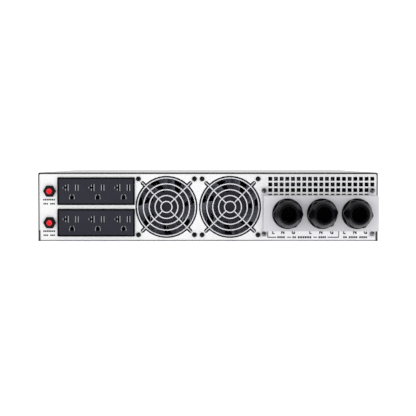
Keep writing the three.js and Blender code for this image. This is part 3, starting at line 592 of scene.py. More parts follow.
finish(
    "blade_plastic",
    srgb(108, 109, 120),
    0.35,
    {"specular": 0.5},
    {"drift": 0.2, "patch": 0.01, "edge_wear_and_highlight": srgb(140, 140, 150), "edge_wear_and_highlight_amount": 0.6, "dust": 0.2},
    {"grain": 0.3 * mm, "depth": 0.008 * mm},
)
# Near black, darker than the strip's own black plastic: painted shade inside the wiring box.
finish(
    "strip_plastic_and_shade",
    srgb(9, 9, 11),
    0.5,
    {"specular": 0.2},
    {"drift": 0.1, "patch": 0.02, "edge_wear_and_highlight": srgb(30, 30, 34), "edge_wear_and_highlight_amount": 0.4},
    {"grain": 0.5 * mm, "depth": 0.02 * mm},
)
# Its pale edge colour stands for a painted highlight on the glands' edges; the gland pieces carry no `edge`
# mark, so it is not drawn.
finish(
    "gland_plastic",
    srgb(8, 8, 14),
    0.3,
    {"specular": 0.07},
    {"drift": 0.1, "patch": 0.01, "edge_wear_and_highlight": srgb(120, 122, 134), "edge_wear_and_highlight_amount": 0.7, "dust": 0.02},
    {"change": 0.06, "patch": 0.008, "grain": 0.6 * mm, "depth": 0.01 * mm, "strength": 0.3},
)
finish(
    "seal_rubber",
    srgb(14, 14, 16),
    0.62,
    {"specular": 0.3},
    {"drift": 0.1, "patch": 0.008},
    {"grain": 0.25 * mm, "depth": 0.02 * mm},
)
# The paler pink on the button's marked rim is a painted highlight.
finish(
    "reset_red",
    srgb(226, 8, 24),
    0.36,
    {"specular": 0.3},
    {"drift": 0.03, "patch": 0.005, "edge_wear_and_highlight": srgb(250, 90, 100), "edge_wear_and_highlight_amount": 0.5, "dust": 0.02},
    {"change": 0.05, "patch": 0.004, "grain": 0.2 * mm, "depth": 0.006 * mm},
)
finish(
    "battery_case",
    srgb(38, 40, 45),
    0.42,
    {"specular": 0.45},
    {"drift": 0.07, "patch": 0.04, "edge_wear_and_highlight": srgb(96, 98, 104), "edge_wear_and_highlight_amount": 0.5, "dust": 0.2},
    {"grain": 0.5 * mm, "depth": 0.02 * mm},
)
finish(
    "capacitor_sleeve",
    srgb(24, 40, 92),
    0.3,
    {"specular": 0.5},
    {"drift": 0.06, "patch": 0.01},
    {"grain": 0.5 * mm, "depth": 0.006 * mm},
)
finish(
    "filter_foam",
    srgb(20, 20, 22),
    0.85,
    {"specular": 0.15},
    {"drift": 0.2, "patch": 0.004, "dust": 0.2},
    {"grain": 0.9 * mm, "depth": 0.4 * mm, "strength": 0.9},
)
print("plastics and rubber done:", len(materials), "finishes")

# %% [markdown]
# ### Bare and plated metals
#
# A metal's colour is the colour of its reflection, so Metallic is 1 and Base Color is bright. Zinc-coated
# sheet keeps fine lines from the rolling mill. Chromed wire and nickel screws are nearly mirrors, with faint
# polishing marks. Black screws have a thin oxide, which still shines like metal.

# %% Finishes: metals
finish(
    "guard_wire",
    srgb(232, 232, 238),
    0.22,
    {"metallic": 0.4},
    {"drift": 0.03, "patch": 0.006, "dust": 0.06},
    {"change": 0.08, "patch": 0.004, "grain": 0.15 * mm, "depth": 0.003 * mm},
)
# In both screw finishes the near-black colour of the cross recess is painted shade.
finish(
    "nickel_screw",
    srgb(92, 91, 92),
    0.2,
    {"metallic": 0.9},
    {"drift": 0.05, "patch": 0.002, "edge_wear_and_highlight": srgb(198, 197, 194), "edge_wear_and_highlight_amount": 0.4, "painted_shade": srgb(4, 4, 5)},
    {"change": 0.1, "patch": 0.002, "grain": 0.12 * mm, "depth": 0.003 * mm},
)
# Black screws; on the terminal strip's clamp screws this near black is painted shade.
finish(
    "black_screw",
    srgb(12, 12, 16),
    0.36,
    {"metallic": 0.3, "specular": 0.3},
    {"drift": 0.1, "patch": 0.002, "edge_wear_and_highlight": srgb(44, 44, 50), "edge_wear_and_highlight_amount": 0.5, "painted_shade": srgb(3, 3, 4)},
    {"change": 0.08, "patch": 0.002, "grain": 0.15 * mm, "depth": 0.004 * mm},
)
finish(
    "aluminium_sink",
    srgb(196, 198, 202),
    0.34,
    {"metallic": 1.0},
    {"drift": 0.04, "patch": 0.02, "dust": 0.15},
    {"grain": 0.3 * mm, "depth": 0.006 * mm},
)
finish(
    "copper_coil",
    srgb(190, 104, 58),
    0.28,
    {"metallic": 0.9, "coat": 0.5},
    {"drift": 0.08, "patch": 0.006, "dust": 0.1},
    {"grain": 0.4 * mm, "depth": 0.008 * mm},
)
# Pale slips beside the outlet slots: a painted highlight where light catches the slots' side edges.
finish(
    "slot_highlight_plastic",
    srgb(158, 158, 166),
    0.4,
    {"specular": 0.4},
    {"drift": 0.14, "patch": 0.0015},
    {"grain": 0.3 * mm, "depth": 0.005 * mm},
)
finish(
    "outlet_rim",
    srgb(5, 5, 7),
    0.5,
    {"specular": 0.05},
    {"drift": 0.1, "patch": 0.02},
    {"grain": 0.35 * mm, "depth": 0.01 * mm},
)
finish(
    "brass_contact",
    srgb(214, 208, 196),
    0.25,
    {"metallic": 1.0},
    {"drift": 0.06, "patch": 0.002},
    {"grain": 0.15 * mm, "depth": 0.003 * mm},
)


def rolled_metal(slot_name, colour, roughness, metallic, line_width, direction):
    material, tree, shader = surface(slot_name.replace("_", " "), roughness, metallic=metallic)
    lines = group(tree, rolling_lines, {"Line Width": line_width, "Direction": direction})
    toned = group(tree, tone_drift, {"Colour": colour, "Amount": 0.05, "Patch Size": 0.012})
    lined = add(
        tree,
        "ShaderNodeVectorMath",
        {0: toned.outputs["Colour"], "Scale": lines.outputs["Tone"]},
        operation="SCALE",
    )
    worn_and_lit = group(
        tree, worn_and_lit_edges, {"Colour": lined.outputs[0], "Wear And Highlight": srgb(222, 224, 228), "Amount": 0.6}
    )
    dusty = group(tree, settled_dust, {"Colour": worn_and_lit.outputs["Colour"], "Amount": 0.12})
    tree.links.new(dusty.outputs["Colour"], shader.inputs["Base Color"])
    touch_chain(tree, shader, roughness, change=0.1, patch=0.01)
    bump = add(
        tree, "ShaderNodeBump", {"Strength": 0.3, "Distance": 0.006 * mm, "Height": lines.outputs["Height"]}
    )
    tree.links.new(bump.outputs["Normal"], shader.inputs["Normal"])
    materials[slot_name] = material


rolled_metal("zinc_steel", srgb(186, 189, 194), 0.34, 1.0, 0.5 * mm, (1, 0.03, 1))
rolled_metal("core_steel", srgb(96, 98, 104), 0.48, 0.8, 0.35 * mm, (0.05, 1, 0.05))
print("metals done:", len(materials), "finishes")

# %% [markdown]
# ### Circuit board
#
# A board is glass cloth under a green lacquer. Copper tracks show through the lacquer as a lighter green. A
# brick pattern with no offset gives straight tracks of even width, and noise breaks them up so that they
# don't run the whole length.

# %% Finish: circuit board
board_material, board_tree, board_shader = surface("board green", 0.3, specular=0.5)
board_place = add(board_tree, "ShaderNodeTexCoord").outputs["Object"]
tracks = add(
    board_tree,
    "ShaderNodeTexBrick",
    {
        "Vector": board_place,
        "Color1": srgb(14, 74, 40),
        "Color2": srgb(18, 84, 46),
        "Mortar": srgb(44, 128, 74),
        "Scale": 1.0,
        "Mortar Size": 0.35 * mm,
        "Brick Width": 6 * mm,
        "Row Height": 2.5 * mm,
    },
)
board_toned = group(
    board_tree,
    tone_drift,
    {"Colour": tracks.outputs["Color"], "Amount": 0.08, "Patch Size": 0.01},
)
board_dusty = group(board_tree, settled_dust, {"Colour": board_toned.outputs["Colour"], "Amount": 0.15})
board_tree.links.new(board_dusty.outputs["Colour"], board_shader.inputs["Base Color"])
touch_chain(board_tree, board_shader, 0.3, grain=0.4 * mm)
materials["board_green"] = board_material
print("board finish ready")

# %% [markdown]
# ### Display, label, print and small lights
#
# The display's window is smoked plastic: dark, very smooth, with a clear coat. Behind it a row of bars and a
# few blocks stand for the load and charge scales, drawn as raised slips further below. Labels are matt paper
# under film, and the printed marks on the panel are ink, which wears thin in places.

# %% Finishes: display, label, print and lights
finish(
    "smoked_lens",
    srgb(18, 22, 26),
    0.08,
    {"specular": 0.6, "coat": 0.6},
    {"drift": 0.05, "patch": 0.02, "dust": 0.04},
    {"change": 0.03, "patch": 0.01, "grain": 0.6 * mm, "depth": 0.001 * mm, "strength": 0.2},
)
finish(
    "print_ink",
    srgb(7, 7, 9),
    0.5,
    {"specular": 0.1},
    {"drift": 0.2, "patch": 0.001},
    {"grain": 0.2 * mm, "depth": 0.002 * mm},
)
finish(
    "pale_ink",
    srgb(214, 216, 220),
    0.5,
    {"specular": 0.3},
    {"drift": 0.05, "patch": 0.002},
    {"grain": 0.2 * mm, "depth": 0.002 * mm},
)
finish(
    "label_film",
    srgb(222, 222, 218),
    0.36,
    {"specular": 0.4},
    {"drift": 0.02, "patch": 0.01, "dust": 0.06},
    {"grain": 0.4 * mm, "depth": 0.004 * mm},
)
finish(
    "display_segment",
    srgb(126, 196, 206),
    0.4,
    {"specular": 0.4},
    {"drift": 0.06, "patch": 0.003},
    {"grain": 0.2 * mm, "depth": 0.002 * mm},
)
finish(
    "indicator_green",
    srgb(58, 168, 84),
    0.2,
    {"specular": 0.6, "coat": 0.4},
    {"drift": 0.06, "patch": 0.001},
    {"grain": 0.2 * mm, "depth": 0.002 * mm},
)
print("finishes in all:", len(materials))

# %% [markdown]
# ## Tools for pieces
#
# Every piece is a plain mesh whose object stays at the origin, as the solids' objects do, so its place is in
# its vertices. `finished` makes the object, gives it its finish, has its body carry it, and hides the solids
# it stands for.

# %% Tool: finish a piece
def finished(name, mesh, finish_name, body, nodes=(), smooth_angle=25):
    """Makes a piece from a mesh or a bmesh, gives it its finish and its body, and hides the solids it
    replaces.
    """
    if isinstance(mesh, bmesh.types.BMesh):
        shape = mesh
        mesh = bpy.data.meshes.new(name)
        shape.to_mesh(mesh)
        shape.free()
    mesh.name = name
    mesh.materials.clear()
    mesh.materials.append(materials[finish_name])
    mesh.polygons.foreach_set("use_smooth", [True] * len(mesh.polygons))
    mesh.set_sharp_from_angle(angle=math.radians(smooth_angle))
    piece = bpy.data.objects.new(name, mesh)
    scene.collection.objects.link(piece)
    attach(piece, body)
    if nodes:
        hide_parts(*nodes)
    return piece


print("piece tool ready")

# %% [markdown]
# ### Rounded copies
#
# Real sheet metal and moulded plastic have no perfectly sharp edge, and it is the thin line of light along a
# rounded edge that makes a part look real. A solid's mesh is loose triangles. A copy of it is merged, its
# flat faces are joined, and each sharp edge is bevelled by a few tenths of a millimetre. The new faces are
# marked in the `edge` attribute, for edge wear and, on some finishes, a painted edge highlight.

# %% Tool: rounded copy of a solid
def edge_layer(shape):
    return shape.faces.layers.float.get("edge") or shape.faces.layers.float.new("edge")


def round_edges(shape, width, segments=2, sharp_angle=32):
    layer = edge_layer(shape)
    sharp = [e for e in shape.edges if e.is_manifold and e.calc_face_angle() > math.radians(sharp_angle)]
    made = bmesh.ops.bevel(
        shape, geom=sharp, offset=width, segments=segments, profile=0.5, affect="EDGES", clamp_overlap=True
    )
    for face in made["faces"]:
        face[layer] = 1.0
    return len(sharp)


def merged_copy(node):
    shape = bmesh.new()
    shape.from_mesh(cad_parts[node].data)
    bmesh.ops.remove_doubles(shape, verts=shape.verts, dist=0.004 * mm)
    bmesh.ops.dissolve_limit(shape, angle_limit=math.radians(1), verts=shape.verts, edges=shape.edges)
    return shape


def rounded_copy(node, finish_name, body, width, segments=2, bare_and_shaded_cuts=False, in_triangles=False):
    shape = merged_copy(node)
    if in_triangles:
        bmesh.ops.triangulate(shape, faces=[face for face in shape.faces if len(face.verts) > 4])
    rounded = round_edges(shape, width, segments)
    if bare_and_shaded_cuts:
        # Faces across the sheet, the walls of its cuts and its outline, are marked for a near-black colour:
        # painted shade.
        cut = shape.faces.layers.float.new("painted_shade")
        for part in shape.faces:
            part[cut] = float(abs(part.normal.y) < 0.5)
    piece = finished(node + "_rounded", shape, finish_name, body, [node], smooth_angle=13)
    for part, rounded_off in zip(piece.data.polygons, piece.data.attributes["edge"].data):
        part.use_smooth = rounded_off.value > 0.5 or max(abs(value) for value in part.normal) < 0.9999
    print(f"{node}: {rounded} edges rounded, {len(piece.data.polygons)} faces")
    return piece


print("rounded copies ready")

# %% [markdown]
# ## Sheet-metal case
#
# The case is folded and punched sheet: a zinc-coated tray, a black cover that wraps over the top and both
# sides, and a light grey panel at the back. A fold has a small radius, and a punched hole has a slightly
# rolled rim. Both are the same bevel here, at half the sheet's thickness or less. The panel is punched after
# painting, so the walls of its holes are bare steel; those walls and the panel's outer edges are coloured
# near black, darker than bare steel, as painted shade.

# %% Case panels
rounded_copy("base_tray", "zinc_steel", "case", 0.3 * mm)
rounded_copy("top_cover", "cover_paint", "case", 0.2 * mm)
rounded_copy("rear_panel", "panel_paint", "case", 0.12 * mm, segments=1, bare_and_shaded_cuts=True)
rounded_copy("front_frame", "zinc_steel", "case", 0.3 * mm)
rounded_copy("bay_wall", "zinc_steel", "case", 0.3 * mm)
for side in ("left", "right"):
    rounded_copy(f"rack_ear_{side}", "cover_paint", "case", 0.4 * mm)

# %% [markdown]
# ## Wiring box
#
# The box over the mains terminals is folded from the same steel and stands 50 mm proud. Its folds have a
# larger radius than the punched edges, so it gets a wider bevel.

# %% Wiring box
rounded_copy("wiring_box", "box_paint", "case", 0.55 * mm, segments=3)

# %% [markdown]
# ## Spun shapes
#
# Buttons, keys, caps and screws are round, so each is a profile turned about an axis that runs along Y. The
# profile is a list of (radius, y) points. Where it comes back to where it began, the piece is a closed ring.
# Repeated corners are left out of each face, and the normals are recalculated, because a turned profile can
# come out inside out.

# %% Tool: spin a profile about an axis along Y
def spun(profile, centre=(0, 0, 0), steps=48, closed=False):
    shape = bmesh.new()
    rings = []
    for radius, y in profile:
        if radius < 1e-7:
            rings.append([shape.verts.new((0, y, 0))])
            continue
        turns = [2 * math.pi * i / steps for i in range(steps)]
        rings.append([shape.verts.new((radius * math.cos(a), y, radius * math.sin(a))) for a in turns])
    pairs = list(zip(rings, rings[1:])) + ([(rings[-1], rings[0])] if closed else [])
    for first, second in pairs:
        for i in range(steps):
            j = (i + 1) % steps
            corners = [first[i % len(first)], first[j % len(first)]]
            corners += [second[j % len(second)], second[i % len(second)]]
            corners = [v for k, v in enumerate(corners) if v not in corners[:k]]
            if len(corners) > 2:
                shape.faces.new(corners)
    bmesh.ops.recalc_face_normals(shape, faces=shape.faces)
    bmesh.ops.translate(shape, verts=shape.verts, vec=Vector(centre))
    return shape


def arc(centre_r, centre_y, radius, start, end, steps=5):
    """Points of a rounded corner in a profile; angles in degrees from +radius towards +y."""
    angles = [math.radians(start + (end - start) * i / steps) for i in range(steps + 1)]
    return [(centre_r + radius * math.cos(a), centre_y + radius * math.sin(a)) for a in angles]


print("spin tool ready")

# %% [markdown]
# ### Hexagons
#
# A hex nut is a hexagonal bar with its corners turned off. For each direction round the axis, the surface is
# at the smaller of two radii: the hexagon's own, and the turned profile's. That rule gives the curved chamfer
# lines of a real nut, so the nut is made by it directly, with an extra column at each corner so that the
# corners stay sharp.

# %% Tool: hexagonal bar with a turned profile
def hexagon_radius(across, angle):
    folded = (angle % (math.pi / 3)) - math.pi / 6
    return across / 2 / math.cos(folded)


def turned_hexagon(profile, across, centre, per_side=8, tilt=0.0, inner=None):
    """profile: (radius, y) from the back to the front; inner: (radius, y) from the front to the back."""
    columns = 6 * per_side
    shape = bmesh.new()
    rings = []
    for radius, y in profile:
        ring = []
        for i in range(columns):
            angle = 2 * math.pi * i / columns
            reach = min(radius, hexagon_radius(across, angle))
            ring.append(shape.verts.new((reach * math.cos(angle + tilt), y, reach * math.sin(angle + tilt))))
        rings.append(ring)
    for radius, y in inner or []:
        turns = [2 * math.pi * i / columns + tilt for i in range(columns)]
        rings.append([shape.verts.new((radius * math.cos(a), y, radius * math.sin(a))) for a in turns])
    pairs = list(zip(rings, rings[1:])) + ([(rings[-1], rings[0])] if inner else [])
    for first, second in pairs:
        for i in range(columns):
            j = (i + 1) % columns
            shape.faces.new([first[i], first[j], second[j], second[i]])
    if not inner:
        shape.faces.new(rings[0])
        shape.faces.new(rings[-1])
    bmesh.ops.recalc_face_normals(shape, faces=shape.faces)
    bmesh.ops.translate(shape, verts=shape.verts, vec=Vector(centre))
    return shape


print("hexagon tool ready")

# %% [markdown]
# ## Reset buttons
#
# Each circuit breaker is held by a hex nut on a round bushing. The red button sits in the bushing and pops
# out when the breaker trips. Its face is dished where a finger pushes it, with a raised rim, and the rim's
# faces are marked for a paler pink: a painted highlight.

# %% Reset buttons, nuts and bushings
for number, body in ((1, "upper_reset_button"), (2, "lower_reset_button")):
    nut_low, nut_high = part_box(f"breaker_nut_{number}")
    centre = (nut_low + nut_high) / 2
    across = 14.3 * mm
    bush = 5.2 * mm
    back, front = nut_high.y, nut_low.y
    nut = turned_hexagon(
        [(8.2 * mm, back), (8.2 * mm, front + 0.9 * mm), (7.7 * mm, front + 0.3 * mm), (7.1 * mm, front)],
        across,
        (centre.x, 0, centre.z),
        inner=[(bush + 0.45 * mm, front), (bush + 0.15 * mm, front + 0.4 * mm), (bush + 0.1 * mm, back)],
    )
    nut_node = f"breaker_nut_{number}"
    finished(f"{nut_node}_turned", nut, "black_plastic", "case", [nut_node])

    button_low, button_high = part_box(f"reset_button_{number}")
    place = (button_low + button_high) / 2
    radius = (button_high.x - button_low.x) / 2
    face = button_low.y
    dish = [(0, face + 0.75 * mm), (1.0 * mm, face + 0.7 * mm), (1.9 * mm, face + 0.45 * mm)]
    rim = [(2.5 * mm, face + 0.1 * mm), (2.75 * mm, face + 0.02 * mm), (radius - 0.55 * mm, face + 0.02 * mm)]
    shoulder = arc(radius - 0.5 * mm, face + 0.5 * mm, 0.5 * mm, -80, 0)
    stem_end = button_high.y
    stem = [(radius, face + 3 * mm), (radius, stem_end - 0.3 * mm)]
    stem += [(radius - 0.3 * mm, stem_end), (0, stem_end)]
    button = spun(dish + rim + shoulder + stem, (place.x, 0, place.z))
    # Faces of the raised rim are marked, and the finish paints them a paler pink: painted highlight.
    layer = edge_layer(button)
    for part in button.faces:
        spot = part.calc_center_median()
        out = math.hypot(spot.x - place.x, spot.z - place.z)
        part[layer] = float(spot.y < face + 0.3 * mm and out > 2.3 * mm)
    button_node = f"reset_button_{number}"
    finished(f"{button_node}_dished", button, "reset_red", body, [button_node])
    rounded_copy(f"breaker_body_{number}", "black_plastic", "case", 0.3 * mm)
print("buttons at z", [round(middle(f"reset_button_{n}").z / mm, 1) for n in (1, 2)])

# %% [markdown]
# ## Outlet blocks
#
# Each block is one moulding with three outlets: a T-shaped slot, a plain slot, and an arched earth hole. Pale
# grey slips at the sides of the slots and the earth hole are painted highlight: thin bright lines where light
# catches their side edges. A black rim runs round each block. The highlight slips and the rim are thin slips
# on the face, a twentieth of a millimetre proud.

# %% Outlet blocks, their painted slot highlights and rims
def box_into(shape, low, high):
    made = bmesh.ops.create_cube(shape, size=1.0)
    size = Vector(high) - Vector(low)
    centre = (Vector(high) + Vector(low)) / 2
    bmesh.ops.scale(shape, verts=made["verts"], vec=size)
    bmesh.ops.translate(shape, verts=made["verts"], vec=centre)
    return made["verts"]


outlet_pitch = 33 * mm
outlet_shift = 2.2 * mm
slot_rise = 4.5 * mm
slot_half = 1.2 * mm
neutral_half_height = 4.3 * mm
hot_half_height = 3.8 * mm
arm_end = 4.6 * mm
blade_half_gap = 6.35 * mm
earth_half = 2.7 * mm
earth_drop = 7.7 * mm
highlight_width = 0.85 * mm
rim_width = 2.3 * mm
slip = 0.05 * mm
for number in (1, 2):
    node = f"outlet_block_{number}"
    rounded_copy(node, "outlet_plastic", "case", 0.12 * mm, segments=1)
    low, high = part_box(node)
    centre = (low + high) / 2
    face = low.y
    # Pale slips at the sides of each slot: painted highlight along the slots' edges.
    slot_highlights = bmesh.new()

    def slip_on_face(shape, x0, x1, z0, z1):
        box_into(shape, (x0, face - slip, z0), (x1, face + slip, z1))

    for i in (-1, 0, 1):
        x = centre.x + i * outlet_pitch + outlet_shift
        z = centre.z + slot_rise
        neutral = x - blade_half_gap
        hot = x + blade_half_gap
        edge = neutral + slot_half
        slip_on_face(slot_highlights, edge, edge + highlight_width, z - neutral_half_height, z + neutral_half_height)
        edge = neutral - slot_half
        slip_on_face(slot_highlights, edge - highlight_width, edge, z + slot_half, z + neutral_half_height - 0.6 * mm)
        slip_on_face(slot_highlights, edge - highlight_width, edge, z - neutral_half_height + 0.6 * mm, z - slot_half)
        edge = neutral - arm_end
        slip_on_face(slot_highlights, edge - highlight_width * 0.8, edge, z - slot_half, z + slot_half)
        for side in (-1, 1):
            near = hot + side * slot_half
            far = hot + side * (slot_half + highlight_width)
            slip_on_face(slot_highlights, min(near, far), max(near, far), z - hot_half_height, z + hot_half_height)
        z = centre.z - earth_drop
        for side in (-1, 1):
            near = x + side * earth_half
            far = x + side * (earth_half + highlight_width * 0.8)
            slip_on_face(slot_highlights, min(near, far), max(near, far), z - earth_half, z + 0.6 * mm)
            for k in range(3):
                a0, a1 = math.radians(12 + k * 20), math.radians(32 + k * 20)
                arch_z = z + 0.4 * mm
                reach = earth_half + highlight_width * 0.35
                slip_x = x + side * reach * math.cos((a0 + a1) / 2)
                slip_z = arch_z + reach * math.sin((a0 + a1) / 2)
                half = highlight_width * 0.36
                slip_on_face(slot_highlights, slip_x - half, slip_x + half, slip_z - 0.5 * mm, slip_z + 0.5 * mm)
    finished(f"outlet_lead_ins_{number}", slot_highlights, "slot_highlight_plastic", "case")
    rim = bmesh.new()
    for z0, z1 in ((low.z, low.z + rim_width), (high.z - rim_width, high.z)):
        slip_on_face(rim, low.x + 0.3 * mm, high.x - 0.3 * mm, z0 + 0.15 * mm, z1 - 0.15 * mm)
    for x0, x1 in ((low.x, low.x + rim_width), (high.x - rim_width, high.x)):
        slip_on_face(rim, x0 + 0.15 * mm, x1 - 0.15 * mm, low.z + rim_width, high.z - rim_width)
    finished(f"outlet_rim_{number}", rim, "outlet_rim", "case")
print("outlet faces at y", round(face / mm, 2), "mm")

# %% [markdown]
# ## Fans
#
# Each fan has a square housing with a round bore, five slanted struts that hold the motor, and a rotor of
# seven blades on a hub. The housing is a rounded copy of its solid. A blade is a thin curved wing: it is
# twisted, flatter at the tip than at the root, and thicker in the middle than at its edges. One blade is
# built point by point, and Geometry Nodes copies it round the hub.

# %% Geometry Nodes tool: copy a shape round an axis along Y
def input_of(tree, label):
    return next(i.identifier for i in tree.interface.items_tree if i.name == label)


def grown(name, base_mesh, tree, values):
    """Runs a Geometry Nodes tree on a mesh and returns the result as a plain mesh."""
    carrier = bpy.data.objects.new(name + "_carrier", base_mesh)
    scene.collection.objects.link(carrier)
    modifier = carrier.modifiers.new("nodes", "NODES")
    modifier.node_group = tree
    for label, value in values.items():
        modifier[input_of(tree, label)] = value
    bpy.context.view_layer.update()
    evaluated = carrier.evaluated_get(bpy.context.evaluated_depsgraph_get())
    mesh = bpy.data.meshes.new_from_object(evaluated)
    carrier.modifiers.remove(modifier)
    bpy.data.objects.remove(carrier)
    return mesh


GEOMETRY = "NodeSocketGeometry"
INTEGER = "NodeSocketInt"
VECTOR = "NodeSocketVector"
MATERIAL = "NodeSocketMaterial"


def make_round_array():
    tree, start, end = new_tree(
        "GeometryNodeTree",
        "Copies round an axis",
        [
            ("Shape", GEOMETRY, None),
            ("Count", INTEGER, 7),
            ("Centre", VECTOR, (0, 0, 0)),
            ("First Angle", FLOAT, 0.0),
            ("Finish", MATERIAL, None),
        ],
        [("Shape", GEOMETRY)],
    )
    points = add(tree, "GeometryNodePoints", {"Count": start["Count"], "Position": start["Centre"]})
    index = add(tree, "GeometryNodeInputIndex").outputs[0]
    full_turn = add(tree, "ShaderNodeMath", {0: 2 * math.pi, 1: start["Count"]}, operation="DIVIDE")
    angle = add(
        tree,
        "ShaderNodeMath",
        {0: index, 1: full_turn.outputs[0], 2: start["First Angle"]},
        operation="MULTIPLY_ADD",
    )
    turn = add(tree, "ShaderNodeCombineXYZ", {"Y": angle.outputs[0]})
    copies = add(
        tree,
        "GeometryNodeInstanceOnPoints",
        {"Points": points.outputs[0], "Instance": start["Shape"], "Rotation": turn.outputs[0]},
    )
    real = add(tree, "GeometryNodeRealizeInstances", {0: copies.outputs[0]})
    coloured = add(
        tree, "GeometryNodeSetMaterial", {"Geometry": real.outputs[0], "Material": start["Finish"]}
    )
    tree.links.new(coloured.outputs[0], end["Shape"])
    return tree


round_array = make_round_array()
print("tree:", round_array.name)

# %% Fan rotors
def wing(hub, tip, chord, pitch_root, pitch_tip, depth, thickness, sweep=14, spans=10, chords=10):
    """One closed blade about an axis along Y, from the hub's radius to the tip's."""
    shape = bmesh.new()
    upper, lower = [], []
    for i in range(spans + 1):
        out = i / spans
        radius = hub - 0.8 * mm + (tip - hub + 0.8 * mm) * out
        pitch = math.radians(pitch_root + (pitch_tip - pitch_root) * out)
        lead = math.radians(sweep) * out
        top, bottom = [], []
        for j in range(chords + 1):
            along = j / chords - 0.5
            width = chord * (0.82 + 0.3 * out)
            flat = along * width * math.cos(pitch)
            rise = along * width * math.sin(pitch) + 1.6 * mm * (0.25 - along * along) * 4 * 0.5
            half = thickness / 2 * (0.25 + 0.75 * math.sqrt(max(0, 1 - (2 * along) ** 2)))
            angle = flat / radius + lead
            limit = depth / 2 - thickness / 2
            rise = max(-limit, min(limit, rise))
            x, z = radius * math.cos(angle), radius * math.sin(angle)
            top.append(shape.verts.new((x, rise + half, z)))
            bottom.append(shape.verts.new((x, rise - half, z)))
        upper.append(top)
        lower.append(bottom)
    for i in range(spans):
        for j in range(chords):
            shape.faces.new([upper[i][j], upper[i][j + 1], upper[i + 1][j + 1], upper[i + 1][j]])
            shape.faces.new([lower[i][j], lower[i + 1][j], lower[i + 1][j + 1], lower[i][j + 1]])
    for i in range(spans):
        for j in (0, chords):
            shape.faces.new([upper[i][j], upper[i + 1][j], lower[i + 1][j], lower[i][j]])
    for j in range(chords):
        for i in (0, spans):
            shape.faces.new([upper[i][j], lower[i][j], lower[i][j + 1], upper[i][j + 1]])
    bmesh.ops.recalc_face_normals(shape, faces=shape.faces)
    mesh = bpy.data.meshes.new("blade")
    shape.to_mesh(mesh)
    shape.free()
    return mesh


for number, body in ((1, "left_fan_rotor"), (2, "right_fan_rotor")):
    node = f"fan_rotor_{number}"
    low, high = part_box(node)
    centre = (low + high) / 2
    depth = high.y - low.y
    hub = 19 * mm
    tip = (high.x - low.x) / 2 - 0.1 * mm
    blades = grown(
        "blades",
        wing(hub, tip, 24 * mm, 50, 34, depth, 1.5 * mm),
        round_array,
        {"Count": 7, "Centre": centre, "First Angle": 0.3 + number, "Finish": materials["blade_plastic"]},
    )
    rotor = spun(
        [(0, low.y + 0.3 * mm), (hub - 3.5 * mm, low.y + 0.3 * mm), (hub - 3 * mm, low.y)]
        + arc(hub - 1.2 * mm, low.y + 1.2 * mm, 1.2 * mm, -90, 0)
        + [(hub, high.y - 1.2 * mm)]
        + arc(hub - 1.2 * mm, high.y - 1.2 * mm, 1.2 * mm, 0, 90)
        + [(5 * mm, high.y), (4.6 * mm, high.y - 0.5 * mm), (0, high.y - 0.5 * mm)],
        (centre.x, 0, centre.z),
        steps=64,
    )
    rotor.from_mesh(blades)
    finished(node + "_bladed", rotor, "blade_plastic", body, [node])
    rounded_copy(f"fan_frame_{number}", "frame_plastic", "case", 0.3 * mm)
print("rotor tip radius", round(tip / mm, 2), "mm")

# %% [markdown]
# ### Wire guards
#
# A guard is five rings of bright wire, spot-welded to four legs that run out to the screws and end in eyes.
# Every part of it is a wire along a curve, so Geometry Nodes draws the curves from a few sizes and runs one
# round section along them all. The rings lie on the legs, nearer to the eye of the person looking.

